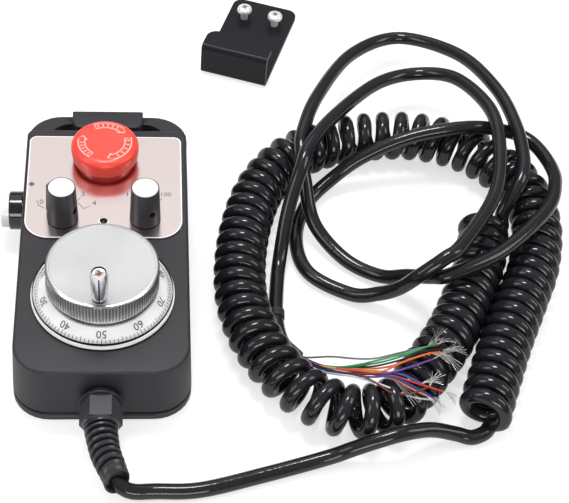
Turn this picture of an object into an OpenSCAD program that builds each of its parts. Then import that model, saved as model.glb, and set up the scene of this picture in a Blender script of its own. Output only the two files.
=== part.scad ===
// Handheld pulse generator: a pendant with a cranked handwheel, a mushroom stop button,
// two selector knobs, an enable button, a curly cord and a J-shaped wall bracket.
// Millimetres. Origin on the handwheel's axis at the flat back of the pendant,
// +X to the enable button's far side, +Y to the hanging loop, +Z out of the dial.

/* [Pendant case] */
// Half width of the case at its top edge
case_half_w = 36.2; // [36:0.1:37]
// Extra half width at the parting line, from the mould's draft
case_draft = 1; // [0.4:0.1:1.6]
// Front end of the case, measured from the handwheel's axis
case_front = 41; // [40:0.5:44]
// Back end of the case, measured from the handwheel's axis
case_back = 100.2; // [98:0.2:102]
// Height of the top face above the flat back
case_top = 31; // [30:0.5:34]
// Thickness of the back cover
cover_t = 4.2; // [3.6:0.1:4.8]
// Thickness of the sealing gasket between cover and shell
gasket_t = 1.6; // [1:0.1:2]
// Wall thickness of the shell
wall = 2.6; // [2.2:0.1:3]
// Corner radius at the cord end
corner_front = 14.8; // [12:0.2:16]
// Corner radius at the loop end of the thick part
corner_back = 3.2; // [3:0.5:5]
// Size of the rounded top edge
edge_r = 1.2; // [0.8:0.1:1.4]

/* [Hanging loop] */
// Back end of the hanging loop
loop_back = 116.1; // [114:0.5:118]
// Underside of the loop
loop_low = 14.4; // [13:0.2:16]
// Top of the loop
loop_top = 25; // [24:0.2:26]
// Corner radius of the loop
loop_r = 15.5; // [12:0.5:16]
// Half width of the slot behind the case
slot_half_w = 26.4; // [25:0.1:29]
// Back edge of the slot
slot_back = 110; // [109.5:0.1:111]
// Half width of the tab that the wall bracket takes
tab_half_w = 16.3; // [15:0.1:16.5]
// Front edge of the tab
tab_front = 105.2; // [104.8:0.1:107]
// Corner radius at the tab's front
tab_corner = 4.2; // [2:0.1:5]
// Top of the tab
tab_top = 28; // [27:0.1:28.4]

/* [Face plate] */
// Sideways place of the face plate's middle line
panel_x = -0.5; // [-1:0.1:1]
// Half width of the metal face plate
plate_half_w = 34.2; // [33:0.1:35]
// Front edge of the face plate
plate_front = 31.7; // [31.4:0.1:33]
// Back edge of the face plate
plate_back = 94.5; // [94:0.2:96]
// Thickness of the face plate
plate_t = 1; // [0.6:0.1:1.2]

/* [Handwheel] */
// Outer radius of the fixed bezel
bezel_r = 30; // [29.6:0.1:30.4]
// Outer radius of the numbered scale ring
scale_r = 28.5; // [28:0.1:28.6]
// Radius of the fluted wheel
wheel_r = 23.5; // [22:0.1:24]
// Height of the wheel's lower edge
wheel_low = 37.8; // [37.4:0.1:39]
// Height of the wheel's top face
wheel_top = 50.2; // [48:0.2:52]
// Number of flutes round the wheel
flutes = 108; // [80:4:120]
// Depth of the flutes
flute_depth = 0.4; // [0.2:0.05:0.5]
// Radius of the encoder shaft
shaft_r = 2.97; // [2.5:0.01:3.2]
// Distance of the crank from the wheel's axis
crank_offset = 19; // [17.5:0.1:19.2]
// Direction of the crank at rest, in degrees
crank_angle = 268; // [180:1:360]
// Length of the crank handle
crank_len = 16.7; // [14:0.1:20]
// Largest radius of the crank handle
crank_r = 3.7; // [3.4:0.1:4]
// Radius of the crank's shoulder screw
crank_pin_r = 1.5; // [1.2:0.05:1.7]

/* [Encoder] */
// Outer radius of the encoder can
can_r = 24; // [23:0.1:24.4]
// Bottom of the encoder can
can_low = 13; // [12.5:0.1:13.5]
// Number of slots in the code disc
disc_slots = 50; // [25:25:100]
// Number of detents
detents = 100; // [50:10:100]

/* [Stop button] */
// Distance of the stop button from the handwheel's axis
stop_y = 79.5; // [78.5:0.1:80.5]
// Radius of the mushroom head
stop_r = 15; // [14:0.1:15.6]
// Height of the head's lower edge at rest
stop_low = 38.3; // [38:0.1:39]
// Height of the head's flat top at rest
stop_top = 43.5; // [43.3:0.1:48]
// Height of the fixed collar
collar_h = 5; // [4:0.1:5]
// Radius of the fixed collar
collar_r = 12.6; // [12:0.1:13]
// Radius of the threaded barrel
barrel_r = 10.9; // [10.4:0.1:11]
// Travel of the head
stop_travel = 2.4; // [2:0.1:2.4]

/* [Selector knobs] */
// Distance of the indicator from the handwheel's axis
led_y = 41.3; // [41:0.1:43]
// Distance of the knobs from the handwheel's axis along the pendant
knob_y = 43.5; // [42.5:0.1:45]
// Sideways place of the axis selector
axis_knob_x = -18.2; // [-19:0.1:-16]
// Sideways place of the rate selector
rate_knob_x = 17.5; // [16:0.1:19]
// Radius of a knob at its base
knob_base_r = 6.75; // [6.4:0.05:7.2]
// Radius of a knob at its top
knob_top_r = 6.05; // [5.9:0.05:6.2]
// Height of a knob's top
knob_top = 50.8; // [49:0.2:53]
// Pointer direction of the axis selector at rest, in degrees
axis_pointer = 150; // [90:5:180]
// Pointer direction of the rate selector at rest, in degrees
rate_pointer = 120; // [60:5:150]
// Radius of the selector shafts
selector_r = 2.97; // [2.5:0.01:3]

/* [Enable button] */
// Distance of the enable button from the handwheel's axis
enable_y = 63; // [60:0.5:65]
// Height of the enable button's axis
enable_z = 16; // [15:0.1:18]
// Radius of the enable button's barrel
enable_r = 8.6; // [7.6:0.1:9]
// How far the barrel stands out of the case
enable_out = 6.2; // [6:0.1:8]
// Travel of the button
enable_travel = 2.2; // [1.5:0.1:2.4]

/* [Gland and cord] */
// Height of the cord gland's axis
gland_z = 15.7; // [15:0.1:16.5]
// Width across the flats of the gland's hexagons
gland_af = 15.2; // [14:0.1:16]
// Cord diameter
cord_d = 6.5; // [6:0.1:6.5]
// Outer diameter of the curly part
curl_d = 23.5; // [23:0.1:23.5]

/* [Wall bracket] */
// Width of the bracket strip
bracket_w = 34; // [33:0.5:36]
// Length of the bracket's plate
bracket_len = 61.2; // [56:0.1:66]
// Height of the bracket's wall
bracket_h = 18; // [17.6:0.1:20]
// Depth of the bracket's lip
lip_len = 13.5; // [12.8:0.1:15]
// Sheet thickness of the bracket
sheet_t = 2; // [1.6:0.1:2.1]
// Spacing of the bracket's two holes
hole_pitch = 16.5; // [15:0.1:18]

/* [Hidden] */
$fn = 72;
gap = 0.35;             // clearance between pieces that move past each other
run = 0.04;             // radial clearance of a running fit
fit = 0.3;              // clearance of a piece in the hole it passes through
sliver = 0.01;          // thickness of the slices that a hull joins
parting = cover_t + gasket_t;
ceiling = case_top - wall;
plate_top = case_top + plate_t;
crank_x = crank_offset * cos(crank_angle);
crank_y = crank_offset * sin(crank_angle);
boss_r = 4.2;
boss_in = wall + boss_r - 0.6;
boss_x = case_half_w - boss_in;
boss_front = -case_front + boss_in + 2;
boss_back = case_back - boss_in - 2;
screw_r = 1.5;
draft_h = case_top - edge_r - parting;
gland_wall = case_front + case_draft * (case_top - edge_r - gland_z) / draft_h;
gland_in = gland_wall - case_front + wall;
neck_r = 7.2;
gland_flange = gland_af / 2 + 1.7;
gland_seat = case_draft * neck_r / draft_h + 0.03;
gland_hex = 4.3;
gland_cone = 14.4;
gland_end = 15.2;
seal_low = 8.6;
enable_wall = case_half_w + case_draft * (case_top - edge_r - enable_z) / draft_h;
enable_in = enable_wall - case_half_w + wall;
enable_seat = case_draft * enable_r / draft_h + 0.03;
enable_floor = enable_out - 3.2;
stem_r = 2.5;
flange_low = case_top + 0.8;
flange_floor = flange_low + 0.4;
flange_top = flange_low + 0.8;
rim_top = flange_top + 0.1;
disc_r = can_r - 7;
detent_r = can_r / 2;
disc_low = can_low + 9.2;
bearing_r = 6;
bearing_w = 4;
bearing_low = 25.6;
bearing_high = 30.6;
hub_r = 5;
stud_r = 1.5;
stud_ring = 27.2;
bush_r = 3.5;
bush_top = plate_top + 3.2;
knob_low = plate_top + gap;
grub_z = 39.6;
cap_t = 1;
plunger_r = 7;
plunger_low = 24;
spigot_r = 4;
spring_low = 14;
spring_wire = 0.8;
bracket_x = 45.2;
bracket_y = 175.5;
bracket_turn = -19.2;
hole_back = 14.1;
bolt_r = 1.95;
guard_r = 6.9;
guard_end_r = 6.2;
guard_ribs = 7;

// Middle line of the bend guard, from the gland down to where the cord leaves it
guard_path = [[0, -gland_wall - gland_end, gland_z], [0, -60.4, 15.3], [0.5, -64.6, 13.8],
    [1.5, -68.6, 11.4], [2.8, -72, 9], [4.6, -75.1, 7.2], [7.2, -77.8, 6.5]];
// Middle line of the straight lead that runs to the curly part
lead_path = [[5.6, -76.2, 6.9], [8.6, -78.9, 5.9], [13.2, -80.4, 4.7], [22, -79.6, 3.6], [40, -79, 3.4],
    [66, -72, 3.4], [92, -65, 5], [103, -63.6, 9.5], [112, -62.5, 13], [123, -60, 14.6], [135, -55.6, 11],
    [146, -54, 6], [153, -54.6, 4], [159, -52.2, 3.7], [162.4, -48.6, 4.2]];
// Middle line of the curly part
curl_path = [[158, -49], [165, -32], [173, -9], [183, 14], [192, 36], [197, 60], [194.5, 82], [184, 98],
    [168, 111], [148, 117.5], [127, 117.5], [106, 111], [87, 98.5], [73, 80], [63.5, 58], [59.5, 34],
    [60, 10], [67, -13], [81, -34], [101, -46.5], [121, -43], [135, -27], [145, -6], [155, 17],
    [164, 39], [171, 60]];
// Middle line of the straight tail, looped twice on top of the curly part
tail_path = [[178.4, 55, 12], [181, 61.5, 17], [185, 66.5, 22.6], [190, 74, 27.6], [192.6, 85, 29.4],
    [192, 106, 30.6], [187, 135, 28], [173, 167, 22], [146, 187, 15], [120, 170, 18], [100, 131, 26],
    [91, 104, 28.4], [89.4, 92, 26.6], [91, 79, 19], [95, 62, 9], [108, 45, 4], [123, 34, 5],
    [134, 27, 13], [142.6, 18, 22.6], [150, 15, 27.6], [174, 28, 28], [198, 53, 28], [206, 72, 26],
    [207, 89, 22], [201, 105, 21], [190, 110.5, 22.6], [170, 107, 28.4], [143, 104, 25], [121, 99, 17],
    [106, 93, 8], [93, 80, 3.6], [86.5, 58, 3.6], [91, 37, 3.6], [109, 24, 4], [121, 20, 9],
    [129, 16.5, 17], [136, 14, 28], [146, 17, 35.4], [155, 25, 36], [174, 57, 33], [181, 86, 32.5],
    [181, 115, 32], [169, 144, 26], [151, 154, 20], [130, 144, 22], [107, 114, 29], [93, 89, 34],
    [88, 76, 31], [82, 61, 18], [78, 43, 5], [76, 27, 3.5], [75, 10, 3.5], [77, -3, 3.5], [83, -12, 4]];
// Middle line of the bundle of bared conductors
wire_path = [[83, -12, 4], [90, -18, 8], [98, -26, 15], [107, -34, 24.6], [120, -38, 27.4],
    [134, -33, 27.6], [146, -25, 28]];

// ---- shared shapes ----

// Outline symmetric about Y, with one radius at its front corners and one at its back corners
module outline(half_w, front, back, r_front, r_back) {
    for (side = [-1, 1]) {
        translate([side * (half_w - r_front), front + r_front]) circle(r_front);
        translate([side * (half_w - r_back), back - r_back]) circle(r_back);
    }
    translate([-half_w, front + r_front]) square([2 * half_w, back - r_back - front - r_front]);
    translate([-(half_w - r_front), front]) square([2 * (half_w - r_front), r_front + 1]);
    translate([-(half_w - r_back), back - r_back - 1]) square([2 * (half_w - r_back), r_back + 1]);
}

// Outline of the case, grown or shrunk on every side
module case_outline(grow) {
    outline(case_half_w + grow, -case_front - grow, case_back + grow,
        corner_front + grow, corner_back + min(grow, 0) / 2);
}

// Plane ring between two radii, from z = low to z = high
module ring(outer, inner, low, high) {
    translate([0, 0, low]) difference() {
        cylinder(r = outer, h = high - low);
        translate([0, 0, -1]) cylinder(r = inner, h = high - low + 2);
    }
}

// Hexagonal nut from z = low to z = high, two flats facing +Y and -Y
module hex_nut(across, inner, low, high) {
    translate([0, 0, low]) difference() {
        cylinder(r = across / 2 / cos(30), h = high - low, $fn = 6);
        translate([0, 0, -1]) cylinder(r = inner, h = high - low + 2);
    }
}

function unit(v) = v / norm(v);
function tangent(p, i) = unit(p[min(i + 1, len(p) - 1)] - p[max(i - 1, 0)]);
function ring_points(centre, along, r, sides) =
    let (across = unit(cross(along, [0, 0, 1])), lift = cross(across, along))
    [for (k = [0 : sides - 1])
        centre + r * (cos(360 * k / sides) * across + sin(360 * k / sides) * lift)];

// Closed tube through the given rings: centres, directions and radii in three equal lists
module swept_tube(centres, ways, radii, sides) {
    n = len(centres);
    points = [for (i = [0 : n - 1]) each ring_points(centres[i], ways[i], radii[i], sides)];
    walls = [for (i = [0 : n - 2], k = [0 : sides - 1])
        let (a = i * sides + k, b = i * sides + (k + 1) % sides)
        each [[a, b, b + sides], [a, b + sides, a + sides]]];
    start_cap = [[for (k = [sides - 1 : -1 : 0]) k]];
    end_cap = [[for (k = [0 : sides - 1]) (n - 1) * sides + k]];
    polyhedron(points, concat(start_cap, walls, end_cap));
}

module cord_tube(path, r, sides) {
    swept_tube(path, [for (i = [0 : len(path) - 1]) tangent(path, i)], [for (p = path) r], sides);
}

// Catmull-Rom curve: the point at parameter t, counted in spans of the path
function spline_point(p, t) =
    let (i = min(floor(t), len(p) - 2), u = t - i,
        b = p[i], c = p[i + 1],
        a = i > 0 ? p[i - 1] : 2 * b - c,
        d = i + 2 < len(p) ? p[i + 2] : 2 * c - b)
    0.5 * (2 * b + (c - a) * u + (2 * a - 5 * b + 4 * c - d) * u * u + (3 * b - a - 3 * c + d) * u * u * u);

// ---- case ----

module shell_outside() {
    hull($fn = 32) {
        translate([0, 0, parting]) linear_extrude(sliver) case_outline(case_draft);
        translate([0, 0, case_top - edge_r]) linear_extrude(sliver) case_outline(0);
        translate([0, 0, case_top - edge_r * 0.3]) linear_extrude(sliver) case_outline(-edge_r * 0.3);
        translate([0, 0, case_top - sliver]) linear_extrude(sliver) case_outline(-edge_r);
    }
}

// Back part of a long outline, cut off square at its front edge
module rear_outline(half_w, front, back, r) {
    intersection() {
        outline(half_w, front - 2 * r, back, 1, r);
        translate([-half_w - 1, front]) square([2 * half_w + 2, back - front + 1]);
    }
}

module loop_outline(shrink) {
    rear_outline(case_half_w + 0.4 - shrink, case_back - wall + 0.4, loop_back - shrink, loop_r - shrink);
}

module hanging_loop() {
    difference() {
        hull($fn = 32) {
            translate([0, 0, loop_low]) linear_extrude(loop_top - loop_low - edge_r) loop_outline(0);
            translate([0, 0, loop_top - sliver]) linear_extrude(sliver) loop_outline(edge_r);
        }
        translate([0, 0, loop_low - 1]) linear_extrude(loop_top - loop_low + 2)
            rear_outline(slot_half_w, case_back, slot_back, 9.4);
    }
    // Tab that the wall bracket takes
    hull($fn = 32) {
        translate([0, 0, loop_low]) linear_extrude(tab_top - loop_low - 0.6)
            outline(tab_half_w, tab_front, loop_back, tab_corner, 0.6);
        translate([0, 0, tab_top - sliver]) linear_extrude(sliver)
            outline(tab_half_w - 0.6, tab_front + 0.6, loop_back - 0.6, tab_corner - 0.6, 0.6);
    }
}

module panel_holes(low, h) {
    translate([panel_x, stop_y, low]) cylinder(r = barrel_r + fit, h = h);
    for (x = [axis_knob_x, rate_knob_x]) translate([x, knob_y, low]) cylinder(r = bush_r + fit, h = h);
    translate([panel_x, led_y, low]) cylinder(r = 1.9, h = h);
}

module at_bosses() {
    for (x = [-boss_x, boss_x], y = [boss_front, boss_back]) translate([x, y, 0]) children();
}

module front_shell() {
    color("#47454a") difference() {
        union() {
            difference() {
                shell_outside();
                translate([0, 0, parting - 1]) linear_extrude(ceiling - parting + 1) case_outline(-wall);
            }
            intersection() {
                at_bosses() translate([0, 0, parting]) cylinder(r = boss_r, h = ceiling - parting + 1);
                shell_outside();
            }
            hanging_loop();
        }
        at_bosses() translate([0, 0, parting - 1]) cylinder(r = screw_r, h = 12);
        translate([0, 0, ceiling - 1]) cylinder(r = can_r + fit, h = wall + 2);
        for (a = [30, 150, 270]) rotate(a) translate([stud_ring, 0, ceiling - 1])
            cylinder(r = stud_r + fit, h = wall + 2);
        panel_holes(ceiling - 1, wall + 2);
        translate([-case_half_w + wall + 1, enable_y, enable_z]) rotate([0, -90, 0])
            cylinder(r = 6.1, h = wall + 4);
        translate([0, -case_front + wall + 1, gland_z]) rotate([90, 0, 0]) cylinder(r = 6.1, h = wall + 4);
    }
}

module back_cover() {
    color("#38363a") difference() {
        hull($fn = 32) {
            linear_extrude(sliver) case_outline(case_draft - 0.9);
            translate([0, 0, 0.9]) linear_extrude(cover_t - 0.9) case_outline(case_draft);
        }
        at_bosses() {
            translate([0, 0, -1]) cylinder(r = screw_r + 0.2, h = cover_t + 2);
            translate([0, 0, -1]) cylinder(r = 3.2, h = 2.6);
        }
    }
}

module cover_gasket() {
    color("#1d1c1e") translate([0, 0, cover_t]) linear_extrude(gasket_t) difference() {
        case_outline(case_draft - 0.8);
        difference() {
            case_outline(-wall);
            for (x = [-boss_x, boss_x], y = [boss_front, boss_back]) translate([x, y]) circle(boss_r);
        }
        for (x = [-boss_x, boss_x], y = [boss_front, boss_back]) translate([x, y]) circle(screw_r + 0.2);
    }
}

module cover_screws() {
    color("#b9bcc0") at_bosses() difference() {
        union() {
            translate([0, 0, 0.3]) cylinder(r = 2.8, h = 1.3);
            translate([0, 0, 0.3]) cylinder(r = screw_r - 0.02, h = 13);
        }
        for (a = [0, 90]) rotate(a) translate([-1.6, -0.3, 0]) cube([3.2, 0.6, 1.1]);
    }
}

module face_plate() {
    color("#e6dcdb") difference() {
        translate([panel_x, 0, case_top]) linear_extrude(plate_t)
            outline(plate_half_w, plate_front, plate_back, 10.5, 3.5);
        panel_holes(case_top - 1, plate_t + 2);
    }
}

// ---- handwheel ----

module wheel_bezel() {
    color("#f2f2f2") rotate_extrude() polygon([
        [bearing_r, bearing_low - 1], [8, bearing_low - 1], [8, ceiling + 1], [can_r, ceiling + 1],
        [can_r, flange_low], [bezel_r, flange_low], [bezel_r, flange_top - 0.2], [bezel_r - 0.2, flange_top],
        [scale_r + gap + 0.3, rim_top], [scale_r + gap, rim_top], [scale_r + gap, flange_floor],
        [8, flange_floor],
        [8, bearing_high + bearing_w], [bearing_r, bearing_high + bearing_w]]);
}

module bezel_gasket() {
    color("#1d1c1e") difference() {
        ring(bezel_r + 0.1, can_r + fit, case_top, flange_low);
        for (a = [30, 150, 270]) rotate(a) translate([stud_ring, 0, case_top - 1])
            cylinder(r = stud_r + 0.1, h = 3);
    }
}

module bezel_studs() {
    color("#b9bcc0") for (a = [30, 150, 270]) rotate(a) translate([stud_ring, 0, 0]) {
        translate([0, 0, ceiling - 5]) cylinder(r = stud_r, h = flange_low - ceiling + 5);
        translate([0, 0, ceiling - 2.4]) cylinder(r = 3, h = 2.4, $fn = 6);
    }
}

module scale_ring() {
    low = flange_floor + gap;
    color("#fbfbfb") rotate_extrude() polygon([
        [scale_r, low], [scale_r, low + 0.3], [wheel_r - 0.2, wheel_low], [wheel_r - 2.4, wheel_low],
        [wheel_r - 2.4, wheel_low - 1.2], [wheel_r - 0.7, wheel_low - 1.2], [scale_r - 1.2, low]]);
}

// Star-shaped outline of the fluted band
module fluted_outline() {
    polygon([for (i = [0 : 2 * flutes - 1])
        let (a = 180 * i / flutes, r = wheel_r - (i % 2) * flute_depth) [r * cos(a), r * sin(a)]]);
}

module wheel_rim() {
    band_low = wheel_low + 2.3;
    band_top = wheel_top - 1;
    face_low = wheel_top - 0.7;
    color("#8d8d90") difference() {
        union() {
            rotate_extrude() polygon([
                [0, wheel_low], [wheel_r - 0.8, wheel_low], [wheel_r - 0.4, wheel_low + 0.4],
                [wheel_r - 0.4, band_low - 0.5], [wheel_r - 1, band_low], [wheel_r - 1, band_top],
                [wheel_r - 0.1, band_top], [wheel_r - 0.7, wheel_top - 0.1], [wheel_r - 0.8, wheel_top],
                [0, wheel_top]]);
            translate([0, 0, band_low]) linear_extrude(band_top - band_low) fluted_outline();
        }
        // Hollow under the wheel, leaving the hub and the boss of the crank screw
        difference() {
            translate([0, 0, wheel_low - 1]) cylinder(r = wheel_r - 2.4, h = face_low - 1.3 - wheel_low + 1);
            cylinder(r = hub_r, h = wheel_top);
            translate([crank_x, crank_y, face_low - 6]) cylinder(r = 3, h = 6);
        }
        translate([0, 0, wheel_low - 1]) cylinder(r = shaft_r + 0.02, h = wheel_top - wheel_low - 2);
        translate([0, 0, face_low]) cylinder(r = wheel_r - 1.7, h = 2);
        translate([crank_x, crank_y, face_low - 5]) cylinder(r = crank_pin_r + 0.02, h = 6);
        for (a = [40, 140]) rotate(a) translate([0, 0, wheel_low + 3]) rotate([0, 90, 0])
            cylinder(r = screw_r + 0.02, h = hub_r + 1);
    }
}

module wheel_face() {
    color("#dfdfdf") difference() {
        translate([0, 0, wheel_top - 0.7]) cylinder(r = wheel_r - 1.75, h = 0.7);
        translate([crank_x, crank_y, wheel_top - 2]) cylinder(r = crank_pin_r + 0.3, h = 3);
    }
}

module wheel_shaft() {
    low = disc_low - 4;
    color("#c9cbce") translate([0, 0, low]) cylinder(r = shaft_r, h = wheel_top - 3 - low);
}

module wheel_set_screws() {
    color("#3a3a3c") for (a = [40, 140]) rotate(a) translate([shaft_r, 0, wheel_low + 3])
        rotate([0, 90, 0]) cylinder(r = screw_r, h = hub_r - shaft_r);
}

module code_disc() {
    color("#9aa0a6") translate([0, 0, disc_low]) linear_extrude(1) difference() {
        circle(disc_r);
        circle(shaft_r + 0.01);
        for (i = [0 : disc_slots - 1]) rotate(360 * i / disc_slots)
            translate([disc_r - 3, -0.45]) square([2, 0.9]);
    }
}

module detent_wheel() {
    color("#8a7a55") translate([0, 0, disc_low - 3.2]) linear_extrude(2.2) difference() {
        polygon([for (i = [0 : 2 * detents - 1])
            let (a = 180 * i / detents, r = detent_r - (i % 2) * 0.35) [r * cos(a), r * sin(a)]]);
        circle(shaft_r + 0.01);
    }
}

module crank_handle() {
    low = wheel_top + 0.3;
    high = low + crank_len;
    color("#d9dadd") translate([crank_x, crank_y, 0]) rotate_extrude() polygon([
        [crank_pin_r + run, low], [2.4, low], [2.7, low + 0.3], [crank_r - 0.7, low + 1.8],
        [crank_r - 0.35, low + 3.6], [crank_r - 0.12, low + 6], [crank_r, low + 9], [crank_r, high - 1.1],
        [crank_r - 0.15, high - 0.4], [crank_r - 0.5, high], [3.1, high], [3, high - 0.2],
        [3, high - 2.2], [crank_pin_r + run, high - 2.2]]);
}

module crank_screw() {
    head_low = wheel_top + 0.3 + crank_len - 2.2 + 0.3;
    color("#c79a7c") translate([crank_x, crank_y, 0]) difference() {
        union() {
            translate([0, 0, wheel_top - 5]) cylinder(r = crank_pin_r, h = head_low - wheel_top + 5);
            translate([0, 0, head_low]) cylinder(r = 2.6, h = 1.3);
        }
        for (a = [20, 110]) rotate(a) translate([-1.5, -0.3, head_low + 0.6]) cube([3, 0.6, 2]);
    }
}

// ---- encoder ----

module encoder_can() {
    color("#2c2c2f") rotate_extrude() polygon([
        [0, can_low], [can_r, can_low], [can_r, ceiling + 1], [can_r - 1.4, ceiling + 1],
        [can_r - 1.4, can_low + 2], [can_r - 4, can_low + 2], [can_r - 4, can_low + 1.2],
        [0, can_low + 1.2]]);
}

module encoder_bearings() {
    color("#b4b6ba") for (z = [bearing_low, bearing_high])
        ring(bearing_r, shaft_r + run, z, z + bearing_w);
}

module encoder_board() {
    top = can_low + 3.6;
    color("#1f5f3c") {
        translate([0, 0, can_low + 2]) cylinder(r = can_r - 1.5, h = 1.6);
        // Light gate that straddles the code disc
        difference() {
            translate([disc_r - 3.5, -4, top]) cube([7, 8, 9]);
            translate([disc_r - 4, -5, disc_low - 0.5]) cube([4.6, 10, 2]);
            cylinder(r = detent_r + gap + 1.2, h = disc_low - 0.5);
        }
    }
}

module detent_spring() {
    color("#c2a24e") translate([0, 0, can_low + 3.6]) {
        translate([-disc_r - 3.5, -2.5, 0]) cube([2.6, 5, 5.4]);
        translate([0, 0, disc_low - 3 - can_low - 3.6]) linear_extrude(1.8) polygon([
            [-disc_r - 1, -2.5], [-disc_r - 0.4, -2.5], [-disc_r - 0.4, -1.2], [-detent_r - gap, -0.25],
            [-detent_r - gap, 0.25], [-disc_r - 0.4, 1.2], [-disc_r - 0.4, 2.5], [-disc_r - 1, 2.5]]);
    }
}

module terminal_block() {
    color("#2f7a4f") difference() {
        translate([-disc_r + 1, -5, can_low - 6]) cube([2 * disc_r - 2, 10, 6]);
        for (i = [0 : 5]) translate([-12.5 + 5 * i, 0, can_low - 7]) cylinder(r = 1.7, h = 3);
    }
}

// ---- stop button ----

module stop_collar() {
    top = plate_top + collar_h;
    color("#e2342a") translate([panel_x, stop_y, 0]) rotate_extrude() polygon([
        [barrel_r + 0.1, plate_top], [collar_r, plate_top], [collar_r, top - 0.6],
        [collar_r - 0.6, top], [barrel_r + 0.1, top]]);
}

module stop_barrel() {
    color("#232225") translate([panel_x, stop_y, 0])
        ring(barrel_r, plunger_r + run, spring_low, plate_top + collar_h);
}

module stop_nut() {
    color("#2c2c2f") translate([panel_x, stop_y, 0])
        hex_nut(2 * barrel_r + 4.2, barrel_r + 0.02, ceiling - 3, ceiling);
}

module stop_contacts() {
    color("#d9d3c2") translate([panel_x, stop_y, 0]) difference() {
        translate([-12, -10, parting + 0.2]) cube([24, 20, spring_low - parting - 0.2]);
        for (x = [-8, 8], y = [-6, 6]) translate([x, y, parting - 1]) cylinder(r = 1.8, h = 4);
    }
}

module stop_head() {
    skirt_in = collar_r + 0.45;
    skirt_low = plate_top + stop_travel + 0.3;
    roof = plate_top + collar_h + stop_travel + 0.5;
    shoulder = stop_low + 2.2;
    color("#f23a2e") translate([panel_x, stop_y, 0]) rotate_extrude() polygon(concat(
        [[spigot_r + run, stop_low + 0.6], [spigot_r + 2.4, stop_low + 0.6], [spigot_r + 2.4, roof],
            [skirt_in, roof], [skirt_in, skirt_low], [stop_r - 0.9, skirt_low], [stop_r - 0.4, skirt_low + 0.5],
            [stop_r - 0.4, stop_low - 0.2], [stop_r, stop_low + 0.2]],
        // Quarter ellipse from the rim up to the flat top
        [for (a = [0 : 10 : 80]) [stop_r - 3.6 + 3.6 * cos(a), shoulder + (stop_top - shoulder) * sin(a)]],
        [[stop_r - 3.6, stop_top], [0, stop_top], [0, roof + 0.8], [spigot_r + run, roof + 0.8]]));
}

module stop_plunger() {
    top = plate_top + collar_h + stop_travel + 0.9;
    color("#d8d6d0") translate([panel_x, stop_y, 0]) {
        translate([0, 0, plunger_low]) cylinder(r = plunger_r, h = stop_low + 0.25 - plunger_low);
        translate([0, 0, stop_low]) cylinder(r = spigot_r, h = top - stop_low);
    }
}

module stop_spring() {
    turns = 5;
    steps = 10;
    rise = plunger_low - spring_low - spring_wire;
    mid_r = plunger_r - 1.2;
    path = [for (i = [0 : turns * steps])
        let (a = 360 * i / steps)
        [panel_x + mid_r * cos(a), stop_y + mid_r * sin(a), spring_low + spring_wire / 2 + rise * i / (turns * steps)]];
    color("#a9abaf") cord_tube(path, spring_wire / 2, 6);
}

// ---- selector knobs ----

module knob(x, pointer) {
    translate([x, knob_y, 0]) rotate(pointer) difference() {
        union() {
            translate([0, 0, knob_low]) cylinder(r1 = knob_base_r, r2 = knob_top_r, h = knob_top - knob_low);
            // Pointer fin, thinner and lower towards its outer edge
            hull($fn = 32) {
                translate([knob_top_r - 1, -1.2, knob_low + 0.4]) cube([1, 2.4, knob_top - knob_low - 0.8]);
                translate([knob_base_r + 1.3, -0.5, knob_low + 0.4]) cube([0.1, 1, 2]);
                translate([knob_top_r + 1.3, -0.5, knob_top - 3]) cube([0.1, 1, 1]);
            }
        }
        translate([0, 0, knob_low - 1]) cylinder(r = 5.7, h = bush_top + gap - knob_low + 1);
        translate([0, 0, knob_low]) cylinder(r = selector_r + 0.01, h = 15);
        translate([0, 0, knob_top - cap_t]) cylinder(r = knob_top_r - 0.49, h = cap_t + 1);
        translate([0, 0, grub_z]) rotate([0, -90, 0]) cylinder(r = screw_r, h = 10);
    }
}

module knob_cap(x) {
    color("#f6f6f6") translate([x, knob_y, knob_top - cap_t]) cylinder(r = knob_top_r - 0.5, h = cap_t + 0.2);
}

module knob_screw(x, pointer) {
    color("#4a4a4d") translate([x, knob_y, grub_z]) rotate(pointer) difference() {
        translate([-selector_r - 0.02, 0, 0]) rotate([0, -90, 0]) cylinder(r = screw_r - 0.02, h = 2.2);
        translate([-selector_r - 1.2, 0, 0]) rotate([0, -90, 0]) cylinder(r = 0.85, h = 3, $fn = 6);
    }
}

module selector_shaft(x) {
    color("#b4b6ba") translate([x, knob_y, 20]) cylinder(r = selector_r, h = knob_low + 15 - 20);
}

module selector_switch(x) {
    color("#5b4a33") translate([x, knob_y, 0]) difference() {
        union() {
            translate([0, 0, 17]) cylinder(r = 8, h = ceiling - 17);
            translate([0, 0, ceiling - 1]) cylinder(r = bush_r, h = bush_top - ceiling + 1);
        }
        translate([0, 0, 19]) cylinder(r = selector_r + run, h = bush_top);
    }
}

module selector_nut(x) {
    color("#c9cbce") translate([x, knob_y, 0]) hex_nut(9, bush_r, plate_top, plate_top + 2.2);
}

module axis_knob() { color("#3c3a3e") knob(axis_knob_x, axis_pointer); }
module axis_knob_cap() { knob_cap(axis_knob_x); }
module axis_knob_screw() { knob_screw(axis_knob_x, axis_pointer); }
module axis_shaft() { selector_shaft(axis_knob_x); }
module axis_switch() { selector_switch(axis_knob_x); }
module axis_switch_nut() { selector_nut(axis_knob_x); }
module rate_knob() { color("#3c3a3e") knob(rate_knob_x, rate_pointer); }
module rate_knob_cap() { knob_cap(rate_knob_x); }
module rate_knob_screw() { knob_screw(rate_knob_x, rate_pointer); }
module rate_shaft() { selector_shaft(rate_knob_x); }
module rate_switch() { selector_switch(rate_knob_x); }
module rate_switch_nut() { selector_nut(rate_knob_x); }

// ---- enable button, drawn along +Z from the case wall outwards ----

module at_enable() {
    translate([-enable_wall, enable_y, enable_z]) rotate([0, -90, 0]) children();
}

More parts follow.
